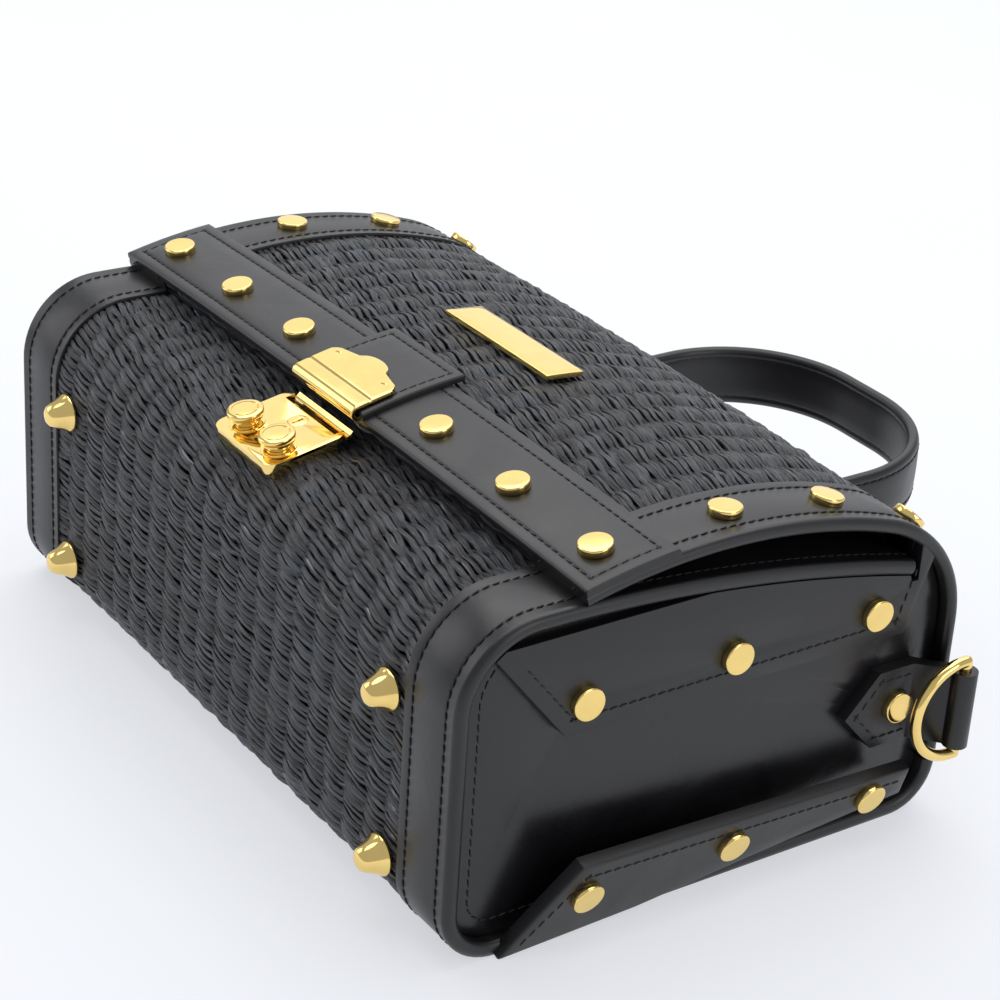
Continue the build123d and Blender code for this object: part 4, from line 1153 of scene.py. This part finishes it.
class WICKER_OT_handle(Operator):
    """Bend the stitched carrying handle and set its feet on the lid's top"""

    bl_idname = "wicker.handle"
    bl_label = "Handle"

    def execute(self, context):
        l = settings("leather")
        low, high = (np.array(corner) * 1000 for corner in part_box("handle"))
        thick, width = l.handle_thick, l.handle_width
        level, top = low[1] - BOTTOM + thick / 2, high[1] - BOTTOM - thick / 2
        span, foot = 50.0, high[0]
        corners = [(-foot, level), (-span, level), (-span, top), (span, top), (span, level), (foot, level)]
        line = rounded_path(corners, (6, 42, 42, 6))
        along = np.gradient(line, axis=0)
        along /= np.linalg.norm(along, axis=1)[:, None]
        out = np.stack([-along[:, 1], along[:, 0]], 1)
        middle = (low[2] + high[2]) / 2
        edge, sewn = 1.7, 2.9
        us = spaced(width, edge, (sewn,), 2.5)
        inset = np.minimum(us, width - us)
        rise = leather_rise(inset, thick / 2, edge, (sewn,), 0.35)
        rise += 0.35 * np.sin(math.pi * us / width) - 0.35
        under = -leather_rise(inset, thick / 2, edge, (sewn,), 0.2)
        section = np.concatenate([np.stack([us, rise], 1), np.stack([us, under], 1)[::-1]])
        sections = []
        for place, normal in zip(line, out):
            flat = place + normal * section[:, 1:2]
            sections.append(np.stack([flat[:, 0], flat[:, 1], middle - width / 2 + section[:, 0]], 1))
        points, faces = swept(sections)
        piece("handle_strap", points, faces, FINISHES["calf_leather"], "lid", ("handle",), "leather")
        normals = np.stack([out[:, 0], out[:, 1], 0 * out[:, 0]], 1)
        for sign in (-1, 1):
            for face in (-1, 1):
                across = middle + sign * (width / 2 - sewn)
                flat = line + face * out * (thick / 2 - 0.3)
                seam("lid", np.column_stack([flat, np.full(len(flat), across)])[3:-3], (face * normals)[3:-3])
        return {"FINISHED"}


def rounded_path(corners, radii):
    """A line through corners, each rounded to its radius, with points about a millimetre apart."""
    corners = np.asarray(corners, float)
    made = [corners[0]]
    for before, corner, after, radius in zip(corners, corners[1:], corners[2:], radii):
        a, b = (before - corner), (after - corner)
        a, b = a / np.linalg.norm(a), b / np.linalg.norm(b)
        half = math.acos(np.clip(a @ b, -1, 1)) / 2
        centre = corner + (a + b) / np.linalg.norm(a + b) * radius / math.sin(half)
        start, end = corner + a * radius / math.tan(half), corner + b * radius / math.tan(half)
        first = math.atan2(*(start - centre)[::-1])
        turn = (math.atan2(*(end - centre)[::-1]) - first + math.pi) % (2 * math.pi) - math.pi
        steps = first + turn * np.linspace(0, 1, max(6, int(radius * abs(turn) / 1.5)))
        made += list(centre + radius * np.stack([np.cos(steps), np.sin(steps)], 1))
    made.append(corners[-1])
    line = [made[0]]
    for place in made[1:]:
        gap = np.linalg.norm(place - line[-1])
        if gap > 1e-6:
            parts = max(1, int(gap / 2))
            line += [line[-1] + (place - line[-1]) * i / parts for i in range(1, parts + 1)]
    return np.array(line)


# ---- Metal ----
def turned(name, profile, count=28):
    """A turned shape for a node tree to repeat, from radii and heights in millimetres, base first."""
    points, rows = turned_points(profile, count)
    mesh = bpy.data.meshes.new(name)
    mesh.from_pydata((points / 1000).tolist(), [], turned_faces(rows, count))
    obj = bpy.data.objects.new(name, mesh)
    bpy.context.scene.collection.objects.link(obj)
    return obj


def head_tree():
    """Sets one turned head at each guide point, facing out, each turned and tipped a little by hand."""
    tree, given = start_tree(
        "Set heads", {"Head": "Object", "Tip": "Float", "Seed": "Int", "Material": "Material"}
    )
    out = add(tree, "GeometryNodeInputNamedAttribute", {"Name": "out"}, data_type="FLOAT_VECTOR")
    size = add(tree, "GeometryNodeInputNamedAttribute", {"Name": "size"}, data_type="FLOAT")
    tip = add(
        tree,
        "FunctionNodeRandomValue",
        {"Min": (-1, -1, -1), "Max": (1, 1, 1), "Seed": given["Seed"]},
        data_type="FLOAT_VECTOR",
    )
    tipped = add(tree, "ShaderNodeVectorMath", {0: tip, "Scale": given["Tip"]}, operation="SCALE")
    facing = add(tree, "ShaderNodeVectorMath", {0: out, 1: tipped}, operation="ADD")
    turn = add(
        tree,
        "FunctionNodeAxesToRotation",
        {"Primary Axis": facing, "Secondary Axis": tip},
        primary_axis="Z",
        secondary_axis="X",
    )
    head = add(tree, "GeometryNodeObjectInfo", {"Object": given["Head"]})
    points = add(tree, "GeometryNodeMeshToPoints", {"Mesh": given["Geometry"]})
    placed = add(
        tree,
        "GeometryNodeInstanceOnPoints",
        {"Points": points, "Instance": head.outputs["Geometry"], "Rotation": turn, "Scale": size},
    )
    end_tree(tree, placed, given["Material"])
    return tree


def end_places(side, heights, depth, lift):
    """Points on an end of the tray, at heights above the bottom face, with their outward direction."""
    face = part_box("end_panel_right")[1][0] * 1000
    return [((side * (face + lift), height, depth), (side, 0, 0)) for height in heights]


def back_tab_places(side, heights, rise):
    """Points on a leaning back tab, at a rise up its outer face."""
    out = (side * math.cos(BACK_TAB_LEAN), 0, -math.sin(BACK_TAB_LEAN))
    return [(on_back_tab(side, height, rise), out) for height in heights]


# Rivet places in millimetres. Heights are above the bottom face and depths above the back.
RIVET_ROW, FLAP_RIVET_DEPTH, BACK_RIVET_RISE = (39.4, 88.0, 136.6), 70.5, 16.0
RING_RIVET_HEIGHT, RING_RIVET_DEPTH = 149.0, 38.0
STRAP_RIVET_HEIGHT, STRAP_RIVET_PITCH = 48.3, 37.0
LID_RIVET_HEIGHTS, LID_RIVET_INSET = (88.7, 123.8), 12.1
CORNER_RIVET_TURN = math.radians(71.6 - 46.5)
HANDLE_RIVET_ACROSS, HANDLE_RIVET_STEP, HANDLE_RIVET_DEPTH = 65, 4.2, 57.0
FOOT_ACROSS, FOOT_DEPTHS = 92.1, (18.5, 69.0)


def rivet_places():
    """Where the rivets sit on each body: a list of (point, outward direction)."""
    b, l = settings("bag"), settings("leather")
    lid = outlines()[1]
    places = {"basket": [], "lid": [], "handle": []}
    strap_run = lid.run_at(STRAP_RIVET_HEIGHT)
    corner_run = lid.turn_run - CORNER_RIVET_TURN * b.lid_corner
    for side in (-1, 1):
        for step in (1, 2, 3):
            place = lid.place(side * STRAP_RIVET_PITCH * step, strap_run, l.strap)
            places["lid"].append((place, lid.out(strap_run)))
        for run in [lid.run_at(height) for height in LID_RIVET_HEIGHTS] + [corner_run]:
            place = lid.place(side * (b.half_width - LID_RIVET_INSET), run, 0.3)
            places["lid"].append((place, lid.out(run)))
        places["basket"] += end_places(side, RIVET_ROW, FLAP_RIVET_DEPTH, 3.8)
        places["basket"] += end_places(side, (RING_RIVET_HEIGHT,), RING_RIVET_DEPTH, 4.0)
        places["basket"] += back_tab_places(side, RIVET_ROW, BACK_RIVET_RISE)
        for step in (-HANDLE_RIVET_STEP, HANDLE_RIVET_STEP):
            x = side * HANDLE_RIVET_ACROSS + step
            place = (x, b.height + l.handle_thick - 0.1, HANDLE_RIVET_DEPTH)
            places["handle"].append((place, (0, 1, 0)))
    return places


class WICKER_OT_rivets(Operator):
    """Set the gilt rivets of the tray, the lid and the handle, and the four feet"""

    bl_idname = "wicker.rivets"
    bl_label = "Rivets and feet"

    def execute(self, context):
        m = settings("metal")
        r, h = m.rivet, m.rivet_rise
        head = [(0, -0.3), (r - 0.25, -0.3), (r - 0.08, 0.05), (r, 0.2), (r, h - 0.45), (r - 0.1, h - 0.18)]
        head += [(r - 0.3, h - 0.02), (r - 0.55, h), (r - 2.4, h + 0.03), (0, h + 0.05)]
        head = turned("rivet_shape", head)
        f, g = m.foot, m.foot_rise
        foot = [(0, 0), (f - 0.2, 0), (f, 0.2), (f, 0.8), (f - 0.3, 1.2), (f - 0.9, 2.2), (f - 1.5, 3.5)]
        foot += [(f - 2.0, 4.7), (f - 2.4, 5.6), (f - 3.0, g * 0.88), (f - 3.9, g * 0.96)]
        foot += [(f - 5.0, g * 0.995), (0, g)]
        foot = turned("foot_shape", foot, 36)
        tree = head_tree()
        places = rivet_places()
        feet = [((side * FOOT_ACROSS, 0.0, z), (0, -1, 0)) for side in (-1, 1) for z in FOOT_DEPTHS]
        small = m.small_rivet / m.rivet
        tray_nodes = ("front_tab_rivets", "back_tab_rivets", "d_ring_tab_rivets")
        lid_nodes = ("strap_rivets", "lid_rivets_left", "lid_rivets_right")
        sets = (
            ("tray_rivets", "basket", head, places["basket"], 1.0, 0.03, tray_nodes),
            ("lid_rivets", "lid", head, places["lid"], 1.0, 0.03, lid_nodes),
            ("handle_rivets_set", "lid", head, places["handle"], small, 0.02, ("handle_rivets",)),
            ("feet", "basket", foot, feet, 1.0, 0.0, ("foot_studs",)),
        )
        for name, body, shape, spots, size, tip, nodes in sets:
            points = [np.asarray(point, float) for point, _ in spots]
            out = [np.asarray(way, float) for _, way in spots]
            made = guide(name, points, [], out=np.array(out), size=np.full(len(points), size))
            given = {"Head": shape, "Tip": tip, "Seed": 3, "Material": FINISHES["gilt_brass"]}
            grow(made, tree, given, body, nodes, sharp=70)
        for shape in (head, foot):
            bpy.data.objects.remove(shape)
        return {"FINISHED"}


def hasp_rear(x):
    """How far the hasp reaches behind its front edge: rounded shoulders that rise to a small central lobe."""
    x = np.abs(x)
    corner = np.clip(x - 13.6, 0, 3) ** 2 * 0.33
    slope = 1.5 * np.clip((13.6 - x) / 7.2, 0, 1)
    lobe = 2.8 * np.sqrt(np.clip(1 - (x / 6.4) ** 2, 0, 1))
    return 13.4 - corner + slope + lobe


# The lock lies tipped on the tray's front. The middle of its face is this far above the bottom and behind the
# bag's front face.
LOCK_TILT, LOCK_HEIGHT, LOCK_SINK = math.radians(10.8), 20.15, 0.25


def lock_place(points):
    """Points of the lock's own plane (across, up the case, out of its face) in the bag's place."""
    across, up, out = np.asarray(points, float).T
    y = LOCK_HEIGHT + up * math.cos(LOCK_TILT) - out * math.sin(LOCK_TILT)
    z = settings("bag").depth - LOCK_SINK + up * math.sin(LOCK_TILT) + out * math.cos(LOCK_TILT)
    return np.stack([across, y, z], 1)


def turned_faces(rows, count):
    """Faces of a turned shape whose rings are followed by its low and high middle points."""
    low, high = rows * count, rows * count + 1
    faces = grid_faces(rows, count, around=True)
    faces += [(low, (j + 1) % count, j) for j in range(count)]
    last = (rows - 1) * count
    return faces + [(high, last + j, last + (j + 1) % count) for j in range(count)]


def turned_points(profile, count):
    """Points of a turned shape from radii and heights, base first."""
    radii, heights = np.array(profile, float).T
    turn = np.linspace(0, 2 * math.pi, count, endpoint=False)
    inner = radii[1:-1]
    spread = np.repeat(heights[1:-1, None], count, 1)
    rings = np.stack([inner[:, None] * np.cos(turn), inner[:, None] * np.sin(turn), spread], -1)
    return np.concatenate([rings.reshape(-1, 3), [[0, 0, heights[0]], [0, 0, heights[-1]]]]), len(inner)


class WICKER_OT_lock(Operator):
    """Make the press lock: case, buttons, key barrel and hasp, with its plate, screws and springs inside"""

    bl_idname = "wicker.lock"
    bl_label = "Lock"

    def execute(self, context):
        m, l = settings("metal"), settings("leather")
        gold = FINISHES["gilt_brass"]
        eased_copy("lock_case", "lock_body", m.ease, gold, "basket", "gold")
        eased_copy("key_barrel", "key_barrel_face", 0.12, gold, "key", "gold")
        # Each button is two discs on a neck, with a ring cut round the top one.
        disc = [(0, -1.2), (3.3, -1.2), (3.38, 2.08), (4.6, 2.12), (4.85, 2.3), (4.85, 2.75), (4.6, 2.95)]
        disc += [(4.1, 3.0), (4.1, 3.2), (5.1, 3.25), (5.3, 3.45), (5.3, 4.3), (5.2, 4.6), (4.95, 4.78)]
        disc += [(4.0, 4.8), (3.85, 4.6), (3.6, 4.6), (3.45, 4.8), (2.0, 4.86), (0, 4.88)]
        count, button_across, button_up = 40, 8.8, -5.4
        points, rows = turned_points(disc, count)
        faces = turned_faces(rows, count)
        for side, hand in ((-1, "left"), (1, "right")):
            placed = lock_place(points + (side * button_across, button_up, 0))
            body, nodes = f"button_{hand}", (f"lock_button_{hand}",)
            piece(f"press_button_{hand}", placed, faces, gold, body, nodes, "gold")
        # The case's rear edge curls up into a trough under the hasp.
        curl = np.radians(np.linspace(-96, -42, 10))
        bend = np.column_stack([np.cos(curl), np.sin(curl)])
        middle, inside, outside, half = np.array([12.6, 1.4]), 3.2, 4.1, 14.6
        section = np.concatenate([middle + inside * bend, (middle + outside * bend)[::-1]])
        lip = [lock_place(np.column_stack([np.full(len(section), x), section])) for x in (-half, half)]
        piece("lock_trough", *swept(lip), gold, "basket", (), "gold")
        self.make_hasp(gold, 2 * l.strap + 0.3)
        for node, finish in (
            ("lock_back_plate", "gilt_brass"),
            ("lock_screws", "plain_steel"),
            ("button_spring_left", "plain_steel"),
            ("button_spring_right", "plain_steel"),
            ("foot_washers", "gilt_brass"),
        ):
            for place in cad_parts[node].material_slots:
                place.material = FINISHES[finish]
        return {"FINISHED"}

    def make_hasp(self, gold, rest):
        """The stamped hasp: a plate on the lock tab whose front rolls over and under into a tongue."""
        lid = outlines()[1]
        half, metal, roll, soft = 16.5, 1.3, 2.4, 0.3
        front = lid.length - 0.2
        xs = -half + spaced(2 * half, 0.35, (), 0.7)
        edge = np.minimum(xs + half, half - xs)
        # Distances back from the front edge, close together at the embossed line and the rear edge.
        back = np.concatenate([np.linspace(0, 2.4, 4), np.arange(2.8, 5.1, 0.35), np.linspace(5.8, 11, 7)])
        curl = np.radians(np.arange(0, 236, 15))[1:]
        top, low = [], []
        for x, inside in zip(xs, edge):
            ease = soft - math.sqrt(max(soft**2 - max(soft - inside, 0) ** 2, 0)) if inside < soft else 0.0
            reach = float(hasp_rear(x))
            rear = 11 + (reach - 11) * np.array([0.25, 0.5, 0.75, 0.92, 1.0])
            runs = front - np.concatenate([back, rear])[::-1]
            distance = front - runs
            rise = metal - 0.3 * np.exp(-(((distance - 4.0) / 0.45) ** 2)) - ease
            rise[:2] -= (0.28, 0.05)
            upper = lid.place(x, runs, rest + rise)
            under = lid.place(x, runs, rest + 0 * rise + ease)
            out, tip = lid.out(front), lid.place(x, front, rest + metal - roll)
            ahead = np.array([0, -out[2], out[1]])
            swing = np.sin(curl)[:, None] * ahead + np.cos(curl)[:, None] * out
            top.append(np.concatenate([upper, tip + (roll - ease) * swing]))
            low.append(np.concatenate([under, tip + (roll - metal + ease) * swing]))
        points, faces = slab(np.array(top), np.array(low))
        piece("hasp", points, faces, gold, "lid", ("hasp_plate",), "gold")
        # A small arched punch mark stands near each shoulder.
        for side, hand in ((-1, "left"), (1, "right")):
            turn = np.radians(np.linspace(20, 160, 12))
            x = side * 12.2 + 1.6 * np.cos(turn)
            runs = front - 10.4 - 1.1 * np.sin(turn)
            level = rest + metal
            line = lid.place(x, runs, level)
            along = np.gradient(line, axis=0)
            along /= np.linalg.norm(along, axis=1)[:, None]
            out = lid.out(runs)
            wide = np.cross(along, out)
            ring = np.radians(np.linspace(0, 360, 6, endpoint=False))
            taper = np.sin(np.linspace(0.25, math.pi - 0.25, 12)) * 0.4
            sections = [
                p + t * (np.cos(ring)[:, None] * a + np.sin(ring)[:, None] * b)
                for p, t, a, b in zip(line, taper, wide, out)
            ]
            piece(f"hasp_mark_{hand}", *swept(sections), gold, "lid", (), "gold")


class WICKER_OT_plate(Operator):
    """Set the bare gilt name plate on the lid"""

    bl_idname = "wicker.plate"
    bl_label = "Name plate"

    def execute(self, context):
        m = settings("metal")
        lid = outlines()[1]
        half, ease, metal = m.plate_width / 2, 0.25, 1.5
        us = -half + spaced(m.plate_width, ease, (), 3.0)
        first, last = lid.run_at(m.plate_high), lid.run_at(m.plate_low)
        vs = first + spaced(last - first, ease, (), 2.0)
        u, v = np.meshgrid(us, vs)
        inset = np.minimum(np.minimum(u + half, half - u), np.minimum(v - first, last - v))
        rise = leather_rise(inset, metal, ease, (), 0)
        top = lid.place(u, v, m.plate - metal + rise)
        points, faces = slab(top, lid.place(u, v, m.plate - metal + 0 * rise))
        piece("bare_name_plate", points, faces, FINISHES["gilt_brass"], "lid", ("name_plate",), "gold")
        return {"FINISHED"}


class WICKER_OT_rings(Operator):
    """Give the two D-rings of round wire their gilt brass finish"""

    bl_idname = "wicker.rings"
    bl_label = "D-rings"

    def execute(self, context):
        for hand in ("left", "right"):
            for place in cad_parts[f"d_ring_{hand}"].material_slots:
                place.material = FINISHES["gilt_brass"]
        return {"FINISHED"}


# ---- Stitching ----
def stitch_tree():
    """Sews short rounded stitches along guide lines, a little slanted as a machine lays them."""
    tree, given = start_tree(
        "Stitches",
        {"Pitch": "Float", "Length": "Float", "Thread": "Float", "Slant": "Float", "Material": "Material"},
    )
    lines = add(tree, "GeometryNodeMeshToCurve", {0: given["Geometry"]})
    places = add(tree, "GeometryNodeCurveToPoints", {"Curve": lines, "Length": given["Pitch"]}, mode="LENGTH")
    out = add(tree, "GeometryNodeInputNamedAttribute", {"Name": "out"}, data_type="FLOAT_VECTOR")
    side = add(
        tree, "ShaderNodeVectorMath", {0: out, 1: places.outputs["Tangent"]}, operation="CROSS_PRODUCT"
    )
    slanted = add(tree, "ShaderNodeVectorMath", {0: side, "Scale": given["Slant"]}, operation="SCALE")
    along = add(tree, "ShaderNodeVectorMath", {0: places.outputs["Tangent"], 1: slanted}, operation="ADD")
    turn = add(
        tree,
        "FunctionNodeAxesToRotation",
        {"Primary Axis": out, "Secondary Axis": along},
        primary_axis="Z",
        secondary_axis="X",
    )
    ball = add(tree, "GeometryNodeMeshUVSphere", {"Segments": 6, "Rings": 5, "Radius": 0.5})
    size = add(
        tree, "ShaderNodeCombineXYZ", {"X": given["Length"], "Y": given["Thread"], "Z": given["Thread"]}
    )
    shaped = add(tree, "GeometryNodeTransform", {"Geometry": ball, "Scale": size})
    sewn = add(
        tree, "GeometryNodeInstanceOnPoints", {"Points": places, "Instance": shaped, "Rotation": turn}
    )
    end_tree(tree, sewn, given["Material"])
    return tree


class WICKER_OT_stitching(Operator):
    """Sew every stitch line of the leather, one mesh for the tray and one for the lid"""

    bl_idname = "wicker.stitching"
    bl_label = "Stitching"

    def execute(self, context):
        l = settings("leather")
        tree = stitch_tree()
        given = {
            "Pitch": l.stitch / 1000,
            "Length": l.stitch * 0.86 / 1000,
            "Thread": l.thread / 1000,
            "Slant": 0.12,
            "Material": FINISHES["waxed_thread"],
        }
        for body, seams in SEAMS.items():
            points, out, edges = [], [], []
            for line, ways in seams:
                first = len(points)
                points += list(line)
                out += list(ways)
                edges += [(first + i, first + i + 1) for i in range(len(line) - 1)]
            made = guide(f"{body}_stitches", points, edges, out=np.array(out))
            grow(made, tree, given, body, ())
        return {"FINISHED"}


# ---- Stage ----
class WICKER_OT_stage(Operator):
    """Set up the pale floor, the soft studio lights and the camera"""

    bl_idname = "wicker.stage"
    bl_label = "Stage"

    def execute(self, context):
        scene = context.scene
        mesh = bpy.data.meshes.new("floor")
        mesh.from_pydata([(-6, -6, 0), (6, -6, 0), (6, 6, 0), (-6, 6, 0)], [], [(0, 1, 2, 3)])
        mesh.materials.append(FINISHES["studio_paper"])
        floor = bpy.data.objects.new("floor", mesh)
        scene.collection.objects.link(floor)

        world = bpy.data.worlds.new("studio")
        world.use_nodes = True
        tree = world.node_tree
        tree.nodes.clear()
        sky = add(tree, "ShaderNodeBackground", {"Color": linear("#f1f3f9"), "Strength": 0.55})
        add(tree, "ShaderNodeOutputWorld", {"Surface": sky})
        scene.world = world
        scene.view_settings.view_transform = "Standard"

        def softbox(name, place, size, power, target=(0, 0, 0.05)):
            light = bpy.data.lights.new(name, "AREA")
            light.shape = "RECTANGLE"
            light.size, light.size_y = size
            light.energy = power
            obj = bpy.data.objects.new(name, light)
            obj.location = place
            obj.rotation_euler = (Vector(target) - Vector(place)).to_track_quat("-Z", "Y").to_euler()
            scene.collection.objects.link(obj)

        softbox("overhead", (-0.25, 0.25, 1.25), (1.5, 1.3), 13)
        softbox("back_wall", (-1.15, 0.85, 0.75), (1.7, 1.1), 4)
        softbox("left_window", (-1.1, -0.9, 0.7), (0.9, 1.0), 4)
        softbox("right_window", (1.3, 0.35, 0.55), (0.7, 0.7), 3)

        camera = bpy.data.cameras.new("camera")
        camera.lens, camera.sensor_width = 97.74, 36
        camera.clip_start, camera.clip_end = 0.01, 50
        azimuth, rise, roll = (math.radians(value) for value in (54.28, 26.83, 3.876))
        level = math.cos(rise)
        back = Vector((math.sin(azimuth) * level, -math.cos(azimuth) * level, math.sin(rise)))
        right = (-back).cross(Vector((0, 0, 1))).normalized()
        up = right.cross(-back)
        right, up = right * math.cos(roll) + up * math.sin(roll), up * math.cos(roll) - right * math.sin(roll)
        obj = bpy.data.objects.new("camera", camera)
        turn = Matrix((right, up, back)).transposed().to_4x4()
        obj.matrix_world = Matrix.Translation((0.5892, -0.44385, 0.4254)) @ turn
        scene.collection.objects.link(obj)
        scene.camera = obj
        return {"FINISHED"}


PIECES = (
    WICKER_OT_finishes,
    WICKER_OT_stage,
    WICKER_OT_weave,
    WICKER_OT_linings,
    WICKER_OT_bindings,
    WICKER_OT_strap,
    WICKER_OT_ends,
    WICKER_OT_hinge,
    WICKER_OT_handle,
    WICKER_OT_lock,
    WICKER_OT_plate,
    WICKER_OT_rings,
    WICKER_OT_rivets,
    WICKER_OT_stitching,
)


class WICKER_PT_bag(Panel):
    """Sizes, finishes and pieces of the bag"""

    bl_idname = "WICKER_PT_bag"
    bl_label = "Wicker Box Bag"
    bl_space_type = "VIEW_3D"
    bl_region_type = "UI"
    bl_category = "Wicker Bag"

    def draw(self, context):
        for name, group in GROUPS.items():
            box = self.layout.box()
            box.label(text=group.__doc__)
            for setting in group.__annotations__:
                box.prop(getattr(context.scene, f"wicker_{name}"), setting)
        for kind in PIECES:
            self.layout.operator(kind.bl_idname)


CLASSES = (*GROUPS.values(), *PIECES, WICKER_PT_bag)


def register():
    for kind in CLASSES:
        bpy.utils.register_class(kind)
    for name, group in GROUPS.items():
        setattr(bpy.types.Scene, f"wicker_{name}", PointerProperty(type=group))


def unregister():
    for name in GROUPS:
        delattr(bpy.types.Scene, f"wicker_{name}")
    for kind in reversed(CLASSES):
        bpy.utils.unregister_class(kind)


def main():
    """Makes every piece in order."""
    register()
    for kind in PIECES:
        family, name = kind.bl_idname.split(".")
        getattr(getattr(bpy.ops, family), name)()


if __name__ == "__main__":
    main()
